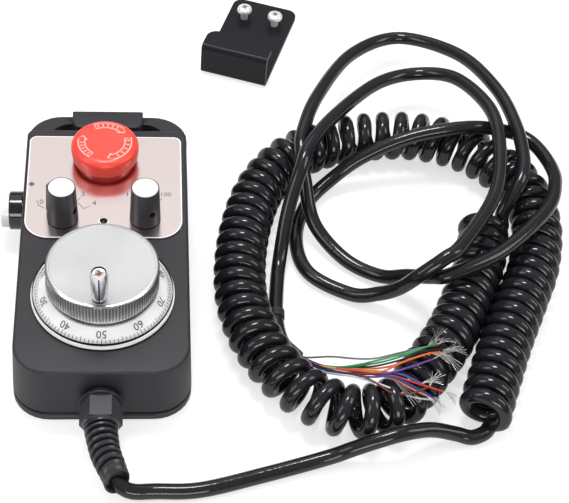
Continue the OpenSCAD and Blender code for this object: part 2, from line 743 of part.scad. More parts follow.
module enable_barrel() {
    color("#2b2a2d") at_enable() rotate_extrude() polygon([
        [stem_r + run, -8], [5.8, -8], [5.8, enable_seat], [enable_r, enable_seat],
        [enable_r, enable_out - 0.4], [enable_r - 0.4, enable_out], [enable_r - 0.7, enable_out],
        [enable_r - 0.7, enable_floor], [stem_r + run, enable_floor]]);
}

module enable_cap() {
    base = enable_floor + gap + enable_travel;
    top = enable_out + 3.6;
    r = enable_r - 0.7 - gap;
    color("#f0f0ee") at_enable() rotate_extrude() polygon([
        [0, base], [r, base], [r, top - 0.6], [r - 0.2, top - 0.2], [r - 0.6, top], [0, top]]);
}

module enable_stem() {
    color("#d8d6d0") at_enable() translate([0, 0, -10])
        cylinder(r = stem_r, h = enable_floor + gap + enable_travel + 10);
}

module enable_nut() {
    color("#2c2c2f") at_enable() rotate(30) hex_nut(16, 5.83, -enable_in - 2.6, -enable_in);
}

module enable_switch() {
    color("#3b4a6b") at_enable() difference() {
        translate([-6, -6, -22]) cube([12, 12, 14]);
        translate([0, 0, -10 - enable_travel - 0.4]) cylinder(r = stem_r + gap, h = 10);
    }
}

// ---- indicator ----

module status_led() {
    color("#17161a") translate([panel_x, led_y, 0]) {
        translate([0, 0, ceiling - 3]) cylinder(r = 1.45, h = plate_top + 0.2 - ceiling + 3);
        translate([0, 0, ceiling - 4]) cylinder(r = 2, h = 1.2);
    }
}

module led_bezel() {
    color("#cfd0d2") translate([panel_x, led_y, 0]) rotate_extrude() polygon([
        [1.48, ceiling - 0.5], [1.85, ceiling - 0.5], [1.85, plate_top], [2.2, plate_top],
        [2.2, plate_top + 0.2], [1.48, plate_top + 0.35]]);
}

// ---- cord gland, drawn along +Z from the case wall outwards ----

module at_gland() {
    translate([0, -gland_wall, gland_z]) rotate([90, 0, 0]) children();
}

module gland_collar() {
    color("#2a292c") at_gland() {
        ring(neck_r, 6, gland_seat, gland_hex - 1);
        ring(gland_flange, 6, gland_hex - 1, gland_hex);
    }
}

module gland_body() {
    color("#3a393d") at_gland() difference() {
        union() {
            translate([0, 0, -8]) cylinder(r = 5.99, h = gland_hex + 9);
            translate([0, 0, gland_hex])
                cylinder(r = gland_af / 2 / cos(30), h = gland_cone - gland_hex, $fn = 6);
            translate([0, 0, gland_cone])
                cylinder(r1 = gland_af / 2, r2 = guard_r + 0.1, h = gland_end - gland_cone);
        }
        translate([0, 0, -9]) cylinder(r = cord_d / 2 + 0.9, h = 18);
        translate([0, 0, seal_low]) cylinder(r = 5.2, h = gland_cone - 1 - seal_low);
        translate([0, 0, gland_cone - 2]) cylinder(r = cord_d / 2 + 0.9, h = gland_end);
    }
}

module gland_seal() {
    color("#1a191b") at_gland() ring(5.1, cord_d / 2 + 0.05, seal_low, gland_cone - 1.1);
}

module gland_nut() {
    color("#2c2c2f") at_gland() rotate(30) hex_nut(16, 6, -gland_in - 3.2, -gland_in);
}

module bend_guard() {
    spans = len(guard_path) - 1;
    collar_rings = 6;
    steps = guard_ribs * 4 + collar_rings;
    mouth = 3;
    // Each rib swells out of the tapering core and falls back again, and a plain collar ends them
    centres = [for (i = [0 : steps]) spline_point(guard_path, spans * i / steps)];
    ways = [for (i = [0 : steps]) i == 0 ? [0, -1, 0] : tangent(centres, i)];
    radii = [for (i = [0 : steps])
        let (taper = guard_r + (guard_end_r - guard_r) * i / steps)
        (i % 4 < 2 || i > steps - collar_rings) ? taper : taper - 0.9];
    last = centres[steps];
    color("#2b2a2d") swept_tube(
        concat(centres, [last, last - mouth * ways[steps]]),
        concat(ways, [ways[steps], ways[steps]]),
        concat(radii, [cord_d / 2 + 1.8, cord_d / 2 + 0.6]), 16);
}

// ---- cord ----

module cord_lead() { color("#19181b") cord_tube(lead_path, cord_d / 2, 10); }
module cord_curl() {
    color("#19181b") cord_tube([for (p = curl_path) [p[0], p[1], curl_d / 2 + 0.1]], curl_d / 2, 12);
}
module cord_tail() { color("#19181b") cord_tube(tail_path, cord_d / 2, 8); }
module cord_wires() { color("#c8562c") cord_tube(wire_path, 2, 8); }

// ---- wall bracket, lying on its back ----

module at_bracket() {
    translate([bracket_x, bracket_y, 0]) rotate(bracket_turn) children();
}

// Flat strip of the bracket's width with two rounded corners at its far end
module strip(len, r) {
    translate([0, 0]) square([bracket_w, len - r]);
    translate([r, len - r - 1]) square([bracket_w - 2 * r, r + 1]);
    for (x = [r, bracket_w - r]) translate([x, len - r]) circle(r);
}

module at_bolts() {
    for (side = [-1, 1]) translate([bracket_w / 2 + side * hole_pitch / 2, bracket_len - hole_back, 0]) children();
}

module bracket() {
    bend = sheet_t + 0.6;
    color("#3a3a3e") at_bracket() difference() {
        union() {
            translate([0, bend, 0]) linear_extrude(sheet_t) translate([0, -bend]) intersection() {
                strip(bracket_len, 5);
                translate([0, bend]) square([bracket_w, bracket_len]);
            }
            translate([0, 0, bend]) cube([bracket_w, sheet_t, bracket_h - 2 * bend]);
            translate([0, 0, bracket_h - sheet_t]) linear_extrude(sheet_t) intersection() {
                strip(lip_len, 5.5);
                translate([0, bend]) square([bracket_w, lip_len]);
            }
            // The two bends
            for (z = [bend, bracket_h - bend]) translate([0, bend, z]) rotate([0, 90, 0])
                intersection() {
                    difference() {
                        cylinder(r = bend, h = bracket_w);
                        translate([0, 0, -1]) cylinder(r = bend - sheet_t, h = bracket_w + 2);
                    }
                    translate([z == bend ? 0 : -bend, -bend, 0]) cube([bend, bend, bracket_w]);
                }
        }
        at_bolts() translate([0, 0, -1]) cylinder(r = bolt_r + 0.3, h = sheet_t + 2);
    }
}

module bracket_screws() {
    color("#dcdde0") at_bracket() at_bolts() difference() {
        union() {
            translate([0, 0, 0.1]) cylinder(r = bolt_r, h = 7);
            rotate_extrude() polygon([[0, 6.6], [3.8, 6.6], [3.8, 7.6], [3.4, 8.4], [2.6, 8.9], [0, 9.1]]);
        }
        for (a = [20, 110]) rotate(a) translate([-1.7, -0.35, 8]) cube([3.4, 0.7, 2]);
    }
}

front_shell();
back_cover();
cover_gasket();
cover_screws();
face_plate();
wheel_bezel();
bezel_gasket();
scale_ring();
wheel_rim();
wheel_face();
wheel_shaft();
wheel_set_screws();
code_disc();
detent_wheel();
crank_handle();
crank_screw();
encoder_can();
encoder_bearings();
encoder_board();
detent_spring();
terminal_block();
bezel_studs();
stop_collar();
stop_barrel();
stop_nut();
stop_contacts();
stop_head();
stop_plunger();
stop_spring();
axis_knob();
axis_knob_cap();
axis_knob_screw();
axis_shaft();
axis_switch();
axis_switch_nut();
rate_knob();
rate_knob_cap();
rate_knob_screw();
rate_shaft();
rate_switch();
rate_switch_nut();
enable_barrel();
enable_cap();
enable_stem();
enable_nut();
enable_switch();
status_led();
led_bezel();
gland_collar();
gland_body();
gland_seal();
gland_nut();
bend_guard();
cord_lead();
cord_curl();
cord_tail();
cord_wires();
bracket();
bracket_screws();
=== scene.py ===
import math

import bmesh
import bpy
from mathutils import Matrix, Vector


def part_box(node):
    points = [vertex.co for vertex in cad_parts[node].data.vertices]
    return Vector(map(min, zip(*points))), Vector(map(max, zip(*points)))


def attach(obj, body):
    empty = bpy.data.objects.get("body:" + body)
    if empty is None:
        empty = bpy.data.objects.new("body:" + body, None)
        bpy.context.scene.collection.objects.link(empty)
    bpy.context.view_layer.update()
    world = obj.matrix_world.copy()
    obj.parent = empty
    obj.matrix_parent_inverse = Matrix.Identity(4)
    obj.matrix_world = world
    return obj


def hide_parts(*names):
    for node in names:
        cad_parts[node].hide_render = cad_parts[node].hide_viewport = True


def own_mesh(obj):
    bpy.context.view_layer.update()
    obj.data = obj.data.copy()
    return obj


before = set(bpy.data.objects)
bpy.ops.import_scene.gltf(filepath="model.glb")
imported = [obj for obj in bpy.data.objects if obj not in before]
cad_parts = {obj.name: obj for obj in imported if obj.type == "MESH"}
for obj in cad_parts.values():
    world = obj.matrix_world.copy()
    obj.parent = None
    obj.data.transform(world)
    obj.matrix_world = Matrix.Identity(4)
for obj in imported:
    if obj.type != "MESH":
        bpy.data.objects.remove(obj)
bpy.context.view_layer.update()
mm = 0.001


# ---- The view --------------------------------------------------------------
# A long lens looks down at the pendant from in front of its cord end.

eye = Vector((17.178, -444.653, 549.363)) * mm
yaw, pitch, roll = 0.128041, 0.830530, 0.098461
ahead = Vector((math.sin(yaw) * math.cos(pitch), math.cos(yaw) * math.cos(pitch), -math.sin(pitch)))
level = Vector((math.cos(yaw), -math.sin(yaw), 0))
upright = level.cross(ahead)
right = math.cos(roll) * level + math.sin(roll) * upright
above = -math.sin(roll) * level + math.cos(roll) * upright
lens = bpy.data.cameras.new("view")
lens.sensor_width = 36
lens.lens = 102.6
lens.clip_start = 0.01
lens.clip_end = 20
view = bpy.data.objects.new("view", lens)
view.matrix_world = Matrix.Translation(eye) @ Matrix((right, above, -ahead)).transposed().to_4x4()
bpy.context.scene.collection.objects.link(view)
bpy.context.scene.camera = view
bpy.context.scene.view_settings.view_transform = "Standard"


# ---- The studio ------------------------------------------------------------
# A white table keeps the soft shadows. Soft boxes stand overhead, at the left, in front and at
# the right, with a small bright one above and a pale card behind, in a pale room.

def reckon(operation):
    """The method that stands behind one arithmetic sign."""
    return lambda signal, other: signal.calc(operation, other)


class Signal:
    """One output of a material's node, so that shader maths reads as plain arithmetic."""

    __add__ = __radd__ = reckon("ADD")
    __sub__ = reckon("SUBTRACT")
    __mul__ = reckon("MULTIPLY")
    __truediv__ = reckon("DIVIDE")
    __gt__ = reckon("GREATER_THAN")
    __lt__ = reckon("LESS_THAN")

    def __init__(self, finish, socket):
        self.finish = finish
        self.socket = socket

    def calc(self, operation, *others):
        return self.finish.node("ShaderNodeMath", {"operation": operation}, [self, *others])


class Finish:
    """A finish being mixed: its material, and methods that add nodes to it."""

    def __init__(self, name, colour=None, rough=0.5, **more):
        self.material = bpy.data.materials.new(name)
        self.material.use_nodes = True
        self.tree = self.material.node_tree
        self.surface = self.tree.nodes["Principled BSDF"]
        if colour:
            self.set("Base Color", colour)
        self.set("Roughness", rough)
        for socket, value in more.items():
            self.set(socket.replace("_", " ").title().replace("Ior", "IOR"), value)

    def set(self, socket, value):
        self.join(value, self.surface.inputs[socket])

    def join(self, value, socket):
        if isinstance(value, Signal):
            self.tree.links.new(value.socket, socket)
        elif hasattr(value, "__len__") and len(value) == 3 and len(socket.default_value) == 4:
            socket.default_value = (*value, 1)
        else:
            socket.default_value = value

    def node(self, kind, settings, values, output=0):
        made = self.tree.nodes.new(kind)
        for key, setting in settings.items():
            setattr(made, key, setting)
        named = values if isinstance(values, dict) else dict(enumerate(values))
        for key, entry in named.items():
            self.join(entry, made.inputs[key])
        return Signal(self, made.outputs[output])

    def place(self, output="Object"):
        return self.node("ShaderNodeTexCoord", {}, [], output)

    def noise(self, scale, detail=3, where=None, roughness=0.5):
        return self.node("ShaderNodeTexNoise", {}, {
            "Vector": where or self.place(), "Scale": scale, "Detail": detail, "Roughness": roughness})

    def blend(self, share, first, second):
        return self.node("ShaderNodeMix", {"data_type": "RGBA"}, {0: share, 6: first, 7: second}, 2)

    def bump(self, height, depth, strength=1.0):
        self.set("Normal", self.node("ShaderNodeBump", {}, {
            "Strength": strength, "Distance": depth, "Height": height}))


def floor_finish():
    white = Finish("table_white", (0.5, 0.5, 0.5), 0.9)
    seen = white.node("ShaderNodeLightPath", {}, [], "Is Camera Ray")
    shiny = white.node("ShaderNodeLightPath", {}, [], "Is Glossy Ray")
    white.set("Emission Color", (1, 1, 1))
    white.set("Emission Strength", seen * 0.62 + shiny * 0.25)
    return white.material


bpy.ops.mesh.primitive_plane_add(size=6, location=(0, 0, 0))
table = bpy.context.object
table.name = "table"
table.data.materials.append(floor_finish())

room = bpy.data.worlds.new("room")
bpy.context.scene.world = room
room.use_nodes = True
sky = room.node_tree
background = sky.nodes["Background"]
background.inputs["Color"].default_value = (1, 1, 1, 1)


def sky_node(kind, entries, output=0, **settings):
    """One node of the room's light, fed with links and numbers."""
    made = sky.nodes.new(kind)
    for key, setting in settings.items():
        setattr(made, key, setting)
    for key, entry in entries.items():
        if isinstance(entry, float):
            made.inputs[key].default_value = entry
        else:
            sky.links.new(entry, made.inputs[key])
    return made.outputs[output]


path = sky.nodes.new("ShaderNodeLightPath").outputs
white_seen = sky_node("ShaderNodeMath", {0: path["Is Camera Ray"], 1: path["Is Transmission Ray"]},
    operation="MAXIMUM")
ways = sky_node("ShaderNodeTexCoord", {}, "Generated")
upward = sky_node("ShaderNodeSeparateXYZ", {0: ways}, "Z")
rise = sky_node("ShaderNodeMapRange", {
    "Value": upward, "From Min": 0.0, "From Max": 0.7, "To Min": 0.28, "To Max": 0.72}, "Result")
# The gloss sees the room at half strength, as in a studio with the lights off
dimmed = sky_node("ShaderNodeMath", {0: path["Is Glossy Ray"], 1: -0.5, 2: 1.0},
    operation="MULTIPLY_ADD")
seen_room = sky_node("ShaderNodeMath", {0: rise, 1: dimmed}, operation="MULTIPLY")
tint = sky_node("ShaderNodeMix", {0: white_seen, 2: seen_room, 3: 1.0}, data_type="FLOAT")
sky.links.new(tint, background.inputs["Strength"])


def soft_box(name, place, target, width, height, power):
    lamp = bpy.data.lights.new(name, "AREA")
    lamp.shape = "RECTANGLE"
    lamp.size = width
    lamp.size_y = height
    lamp.energy = power
    holder = bpy.data.objects.new(name, lamp)
    holder.location = place
    holder.rotation_euler = (Vector(target) - Vector(place)).to_track_quat("-Z", "Y").to_euler()
    bpy.context.scene.collection.objects.link(holder)


soft_box("box_over", (-0.15, 0.35, 1.3), (0.07, 0.05, 0), 0.9, 0.6, 1)
soft_box("box_left", (-1.0, -0.25, 0.9), (0.05, 0.05, 0), 0.5, 0.8, 3.5)
soft_box("box_key", (0.0, 0.3, 1.1), (0.08, 0.03, 0), 0.32, 0.2, 5)
soft_box("box_front", (0.1, -1.3, 0.45), (0.0, 0.0, 0.03), 0.8, 0.4, 5.6)
soft_box("box_right", (1.1, -0.1, 0.8), (0.1, 0.05, 0), 0.4, 0.7, 3)
soft_box("card_back", (0.0, 1.0, 1.0), (0.0, 0.06, 0.03), 0.9, 0.8, 1.25)


# ---- The cord --------------------------------------------------------------
# One PVC cord of 6.5 mm: a straight lead from the bend guard, a left-handed curly part wound
# on a mandrel and laid in one large loop, and a straight tail looped twice on top of it.

cord_d = 6.5
coil_mid = 8.5
coil_height = 11.85
lead_route = [(5.6, -76.2, 6.9), (8.6, -78.9, 5.9), (13.2, -80.4, 4.7), (22, -79.6, 3.6),
    (40, -79, 3.4), (66, -72, 3.4), (92, -65, 5), (103, -63.6, 9.5), (112, -62.5, 13),
    (123, -60, 14.6), (135, -55.6, 11), (146, -54, 6), (153, -54.6, 4), (159, -52.2, 3.7),
    (162.4, -48.6, 4.2)]
# Middle line of the curly part and the pitch of its turns there
coil_route = [(158, -49, 7.6), (164.4, -32, 7.3), (173.4, -9.4, 7.2), (183.6, 13.4, 7.2),
    (192.8, 35.4, 7.3), (197.6, 60, 7.8), (194.5, 82, 8.3), (184, 98, 8.8), (168, 111, 9),
    (148, 117.5, 9), (127, 117.5, 8.8), (105, 112.5, 8.5), (85.5, 101.5, 8), (71.5, 83, 7.8),
    (63.5, 59.5, 7.5), (59.5, 34, 7.4), (60, 10, 7.6), (67, -13, 8), (81, -34, 9.4),
    (101, -46.5, 9.8), (121, -43, 9), (135, -27, 7.7), (148.8, -7, 7.3), (160, 16, 7.2),
    (168.6, 38.4, 7.3), (173, 60, 7.6)]
tail_route = [(181, 61.5, 17), (185, 66.5, 22.6), (190, 74, 27.6), (192.6, 85, 29.4),
    (192, 106, 30.6), (187, 135, 28), (173, 167, 22), (146, 187, 15), (120, 170, 18),
    (100, 131, 26), (91, 104, 28.4), (89.4, 92, 26.6), (91, 79, 19), (95, 62, 9), (108, 45, 4),
    (123, 34, 5), (134, 27, 13), (142.6, 18, 22.6), (150, 15, 27.6), (174, 28, 28), (198, 53, 28),
    (206, 72, 26), (207, 89, 22), (201, 105, 21), (190, 110.5, 22.6), (170, 107, 28.4),
    (143, 104, 25), (121, 99, 17), (106, 93, 8), (93, 80, 3.6), (86.5, 58, 3.6), (91, 37, 3.6),
    (109, 24, 4), (121, 20, 9), (129, 16.5, 17), (136, 14, 28), (146, 17, 35.4), (155, 25, 36),
    (174, 57, 33), (181, 86, 32.5), (181, 115, 32), (169, 144, 26), (151, 154, 20), (130, 144, 22),
    (107, 114, 29), (93, 89, 34), (88, 76, 31), (82, 61, 18), (78, 43, 5), (76, 27, 3.5),
    (75, 10, 3.5), (77, -3, 3.5), (83, -12, 4)]


def smooth_line(points, steps):
    """Points along the smooth curve that passes through the given ones."""
    knots = [Vector(p) for p in points]
    knots = [2 * knots[0] - knots[1], *knots, 2 * knots[-1] - knots[-2]]
    line = []
    for a, b, c, d in zip(knots, knots[1:], knots[2:], knots[3:]):
        for k in range(steps):
            u = k / steps
            line.append(0.5 * (2 * b + (c - a) * u + (2 * a - 5 * b + 4 * c - d) * u ** 2
                + (3 * b - a - 3 * c + d) * u ** 3))
    return [*line, knots[-2]]


def coil_turns(route, start_angle, per_turn):
    """Points of the left-handed helix round a route whose third numbers are pitches."""
    middle = smooth_line(route, 60)
    turned = [0]
    for a, b in zip(middle, middle[1:]):
        turned.append(turned[-1] + 2 * (b - a).xy.length / (a.z + b.z))
    # The last turn ends on the outer side of the loop, on its way up
    whole = round(turned[-1] + start_angle / 360) - start_angle / 360
    turned = [t * whole / turned[-1] for t in turned]
    line = []
    i = 0
    for k in range(int(whole * per_turn) + 1):
        t = k / per_turn
        while i < len(turned) - 2 and turned[i + 1] < t:
            i += 1
        share = (t - turned[i]) / (turned[i + 1] - turned[i])
        here = middle[i].lerp(middle[i + 1], share)
        along = (middle[min(i + 2, len(middle) - 1)] - middle[max(i - 1, 0)]).xy.normalized()
        side = Vector((along.y, -along.x, 0))
        angle = math.radians(start_angle) + 2 * math.pi * t
        line.append(Vector((here.x, here.y, coil_height))
            + coil_mid * (math.cos(angle) * side + math.sin(angle) * Vector((0, 0, 1))))
    return line


def round_wire(name, line, diameter, sides=14, others=()):
    """A curve with a round section along one line or more; the lines are in millimetres."""
    curve = bpy.data.curves.new(name, "CURVE")
    curve.dimensions = "3D"
    curve.bevel_depth = diameter / 2 * mm
    curve.bevel_resolution = sides // 2 - 2
    curve.use_fill_caps = True
    for run in (line, *others):
        spline = curve.splines.new("POLY")
        spline.points.add(len(run) - 1)
        for point, place in zip(spline.points, run):
            point.co = (*(place * mm), 1)
        spline.use_smooth = True
    wire = bpy.data.objects.new(name, curve)
    bpy.context.scene.collection.objects.link(wire)
    return wire


first_angle, points_per_turn = -50, 30
coil = coil_turns(coil_route, first_angle, points_per_turn)
lead_in = smooth_line([*lead_route, coil[3], coil[6], coil[9]], 8)[:-16]
tail_out = smooth_line([coil[-7], coil[-4], coil[-1], *tail_route], 8)[16:]
cord_line = [*lead_in[:-1], *coil[3:], *tail_out[1:]]
cord = round_wire("cord", cord_line, cord_d)


def cord_finish():
    pvc = Finish("cord_black_gloss", None, 0.2, Specular_IOR_Level=0.5)
    dust = pvc.noise(900, 2)
    pvc.set("Base Color", pvc.blend(pvc.noise(60, 3), (0.007, 0.007, 0.009), (0.016, 0.015, 0.019)))
    pvc.set("Roughness", 0.06 + dust * 0.1)
    pvc.bump(pvc.noise(420, 2), 0.0001, 0.5)
    return pvc.material


cord.data.materials.append(cord_finish())
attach(cord, "pendant")
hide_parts("cord_lead", "cord_curl", "cord_tail")


# ---- The conductors --------------------------------------------------------
# Fourteen thin stranded conductors in coloured PVC fan out of the cord's end over the curly part,
# and all of them but the white one are stripped to their tinned strands.

wire_colours = {
    "grey": (0.2, 0.2, 0.21), "black": (0.012, 0.012, 0.013), "orange": (0.72, 0.12, 0.02),
    "green": (0.015, 0.26, 0.07), "purple": (0.14, 0.05, 0.28), "red": (0.55, 0.03, 0.015),
    "blue": (0.015, 0.05, 0.3), "white": (0.7, 0.7, 0.68), "brown": (0.14, 0.04, 0.018),
    "yellow": (0.7, 0.55, 0.12), "orange_white": (0.62, 0.2, 0.09), "blue_white": (0.04, 0.1, 0.4),
    "red_white": (0.6, 0.1, 0.05), "green_white": (0.1, 0.4, 0.16)}
wire_routes = {
    "grey": [(83, -11.5, 5), (86.7, -15.2, 8), (96, -20.3, 15), (104.6, -26.9, 22),
        (112.7, -29.6, 25.5), (122.4, -27.7, 26.5), (130, -24.8, 25.5), (139.8, -22.4, 25.6)],
    "black": [(83.4, -12, 4.4), (89.6, -18.2, 7), (95.9, -23.1, 11), (103.4, -28.3, 18),
        (110.9, -32.5, 23.6), (119.5, -32.1, 26), (126.6, -30.6, 27.6), (134, -27, 27.4),
        (141.6, -25.6, 26)],
    "orange": [(83.8, -12.4, 5), (91, -19.8, 9), (98.3, -28.5, 17), (105.2, -34.3, 23.4),
        (114, -37.3, 26.2), (123.8, -33.3, 27.6), (133.7, -29.9, 28.6), (139.9, -28, 27.6)],
    "green": [(83.2, -12.4, 3.6), (92, -21, 10), (102, -28.6, 18.4), (111.3, -31.8, 24.6),
        (118.7, -31.4, 26.8), (125.8, -30, 28.6), (132.3, -27.2, 29), (138.3, -23.8, 28)],
    "purple": [(83.4, -11.6, 4.6), (93, -22.4, 11.4), (103, -32.4, 20.6), (111.1, -36.6, 25),
        (117.4, -38, 26.4), (126.2, -35.5, 27), (136.8, -30.9, 26.6)],
    "red": [(83.6, -12.6, 3.6), (91.2, -23.1, 8.6), (101.2, -32.2, 19), (109.9, -36.5, 24),
        (119, -38.6, 25.4), (125.9, -40.8, 24.8), (132.9, -42.7, 23.6), (140.3, -43.5, 21)],
    "blue": [(83.2, -12.8, 4), (94, -26, 12.6), (104.8, -35.6, 21.6), (111.3, -38.5, 24.4),
        (118.9, -39.6, 26), (125.9, -42.1, 24), (132.2, -44.4, 21.6), (136.2, -45.1, 19)],
    "white": [(83.6, -12.8, 4.4), (90, -22, 8), (96.6, -29.9, 15.4), (103.2, -35.3, 20.8),
        (109.9, -39.3, 22.8), (116.7, -42.5, 23), (123.7, -45, 21.4), (128.7, -45.9, 20),
        (135.3, -45.4, 18)],
    "brown": [(83, -12.4, 4.6), (95, -26.4, 14), (105.6, -36.1, 22.6), (111.9, -41, 24),
        (117.4, -44.9, 23), (123.3, -45.8, 22.4), (128.2, -45.1, 22.6), (134.3, -42.4, 23)],
    "yellow": [(83.2, -11.8, 4), (88.9, -18.7, 8.4), (92.7, -23.3, 12), (101.2, -30.4, 19),
        (110, -34.8, 24.4), (116, -36.6, 25.6)],
    "orange_white": [(83.5, -12.2, 4.2), (93.5, -25, 12), (104, -33.6, 20.6), (112, -37, 24),
        (120, -40, 24.6), (127, -43.6, 23), (133, -45.6, 21)],
    "blue_white": [(83.1, -12.6, 4), (91, -22.6, 10), (100, -31.5, 18), (109, -36, 23),
        (117, -36.6, 25), (124, -38.6, 25.6), (131, -41.6, 24)],
    "red_white": [(83.4, -12, 4.8), (92, -22, 10.6), (101, -30, 19), (109, -34, 24),
        (118, -34.6, 26.4), (127, -32, 28), (135.5, -28.8, 28)],
    "green_white": [(83.2, -12.2, 4.8), (90.6, -20.2, 9), (98, -26, 15), (107, -29.6, 21.6),
        (117, -30, 26), (127, -28.4, 28), (135, -25, 27.4)]}
strand_tips = {
    "grey": (145.8, -18.1, 24.4), "black": (151.4, -24.6, 24.6), "orange": (148.1, -33.6, 24.6),
    "green": (141.3, -13.2, 25), "purple": (149.5, -22.4, 25), "red": (146, -45, 17.4),
    "blue": (139.6, -45.4, 16), "yellow": (129.6, -48.6, 20), "brown": (138.1, -36.7, 25),
    "orange_white": (140, -49.5, 16), "blue_white": (139, -39.6, 24), "red_white": (144, -30.4, 26),
    "green_white": (141, -18, 25.6)}


def conductor_finish(name, colour):
    jacket = Finish("conductor_" + name, None, 0.36)
    jacket.set("Base Color", jacket.blend(jacket.noise(500, 2), [c * 0.82 for c in colour], colour))
    jacket.bump(jacket.noise(900, 2), 0.00004, 0.3)
    return jacket.material


def strand_finish():
    tinned = Finish("tinned_strands", (0.72, 0.70, 0.67), 0.3, Metallic=1.0)
    tinned.set("Roughness", 0.24 + tinned.noise(700, 2) * 0.2)
    return tinned.material


conductor_d, strand_d, sleeve_wall = 0.85, 0.28, 0.45
on_cord = []
# A short dull sleeve is shrunk on the cord near its end
sleeve = round_wire("cord_sleeve", smooth_line(tail_route[-4:-2], 8)[6:], cord_d + 2 * sleeve_wall)
dull = Finish("sleeve_dull", None, 0.6)
dull.set("Base Color", dull.blend(dull.noise(300, 2), (0.012, 0.012, 0.013), (0.03, 0.03, 0.032)))
sleeve.data.materials.append(dull.material)
on_cord.append(sleeve)
for name, route in wire_routes.items():
    wire = round_wire("conductor_" + name, smooth_line(route, 6), conductor_d, 8)
    wire.data.materials.append(conductor_finish(name, wire_colours[name]))
    on_cord.append(wire)
strands = []
for name, tip in strand_tips.items():
    start, end = Vector(wire_routes[name][-1]), Vector(tip)
    aside = (end - start).cross(Vector((0, 0, 1))).normalized()
    for spread in (0, 1.9, -2.3, 3.6):
        middle = (start + end) / 2 + Vector((0, 0.5, 0.4)) + aside * spread * 0.3
        fanned = end + aside * spread + Vector((0, 0, spread * 0.3))
        strands.append(smooth_line([start, middle, fanned], 5))
bare = round_wire("strands", strands[0], strand_d, 6, strands[1:])
bare.data.materials.append(strand_finish())
on_cord.append(bare)
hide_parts("cord_wires")
for piece in on_cord:
    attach(piece, "pendant")


# ---- Case and back cover ---------------------------------------------------
# The shell and its thin back cover are moulded in black ABS with a fine satin spark texture.
# A rubber seal lies in the groove between them, and four countersunk screws hold the cover.

def shade(code):
    """A colour that is written as on a paint card, turned into light values."""
    parts = [int(code[i:i + 2], 16) / 255 for i in (0, 2, 4)]
    return tuple(p / 12.92 if p <= 0.04045 else ((p + 0.055) / 1.055) ** 2.4 for p in parts)


def let_go():
    """Leaves edit mode and deselects everything."""
    if bpy.context.object and bpy.context.object.mode != "OBJECT":
        bpy.ops.object.mode_set(mode="OBJECT")
    bpy.ops.object.select_all(action="DESELECT")


def pick(piece):
    let_go()
    piece.select_set(True)
    bpy.context.view_layer.objects.active = piece


def edit_all():
    """Opens the picked piece's mesh with all of it selected."""
    bpy.ops.object.mode_set(mode="EDIT")
    bpy.ops.mesh.select_all(action="SELECT")


def settle():
    """Writes the picked piece's place, turn and size into its points."""
    bpy.ops.object.transform_apply(location=True, rotation=True, scale=True)


def fit_piece(piece, finish, body, slot, *nodes):
    """Gives a finished piece its finish and its place on a body, and hides the solids it stands for."""
    pick(piece)
    settle()
    piece.data.materials.clear()
    piece.data.materials.append(finish.material)
    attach(piece, body)
    if nodes:
        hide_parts(*nodes)
    return piece


def smooth_copy(name, node, angle=32, edge=0.0):
    """A merged copy of a solid, with its sharp edges broken and its round faces shaded smooth."""
    piece = bpy.data.objects.new(name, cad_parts[node].data.copy())
    bpy.context.scene.collection.objects.link(piece)
    pick(piece)
    edit_all()
    bpy.ops.mesh.remove_doubles(threshold=0.000004)
    if edge:
        bpy.ops.mesh.dissolve_limited(angle_limit=math.radians(0.5))
    bpy.ops.object.mode_set(mode="OBJECT")
    if edge:
        broken = piece.modifiers.new("broken_edge", "BEVEL")
        broken.width = edge * mm
        broken.segments = 2
        broken.angle_limit = math.radians(40)
        bpy.ops.object.modifier_apply(modifier="broken_edge")
    bpy.ops.object.shade_smooth_by_angle(angle=math.radians(min(angle, 18) if edge else angle))
    flat = piece.modifiers.new("flat_faces", "WEIGHTED_NORMAL")
    flat.keep_sharp = True
    bpy.ops.object.modifier_apply(modifier="flat_faces")
    return piece


def fit_copy(name, node, finish, body, slot, angle=32, edge=0.0):
    """A smooth copy of a solid, fitted in the solid's place."""
    return fit_piece(smooth_copy(name, node, angle, edge), finish, body, slot, node)


def moulded(name, colour, rough=0.45, grain=1500, depth=0.03, **more):
    """Moulded plastic: slow changes of tone, and a fine grain in its gloss and its surface."""
    plastic = Finish(name, None, rough, **more)
    plastic.set("Base Color", plastic.blend(plastic.noise(55, 3),
        [c * 0.84 for c in colour], [min(1, c * 1.12) for c in colour]))
    speck = plastic.noise(grain, 2)
    plastic.set("Roughness", rough - 0.06 + speck * 0.12)
    plastic.bump(speck, depth * mm, 0.6)
    return plastic


case_black = moulded("case_black_satin", shade("2d2b30"), 0.46, 2600, 0.035, Specular_IOR_Level=0.42)
# The cover is the shell's black ABS, painted lighter than the shell as painted light on it.
cover_black = moulded("cover_black_satin", shade("3a383d"), 0.48, 2600, 0.035, Specular_IOR_Level=0.42)
fit_copy("case_shell", "front_shell", case_black, "pendant", "case_black")
fit_copy("case_cover", "back_cover", cover_black, "pendant", "cover_black")


# ---- Rubber seals ----------------------------------------------------------
# The cover's seal, the bezel's seal and the gland's grommet are soft black rubber, matt, with
# the dusting that talc leaves on it. They are cut or moulded and held by clamping.

def dress(finish, *names):
    """Puts a finish on solids that keep their own shape."""
    for name in names:
        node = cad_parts[name]
        node.data.materials.clear()
        node.data.materials.append(finish.material)


rubber = moulded("rubber_matt", shade("1b1a1c"), 0.78, 1100, 0.05, Specular_IOR_Level=0.25)
dress(rubber, "cover_gasket", "bezel_gasket", "gland_seal")


# ---- Face plate ------------------------------------------------------------
# A silver anodised sheet with a fine brushed grain lies in the case's top face. Its cut edge
# is bright, and its marks are printed on it in thin grey ink.

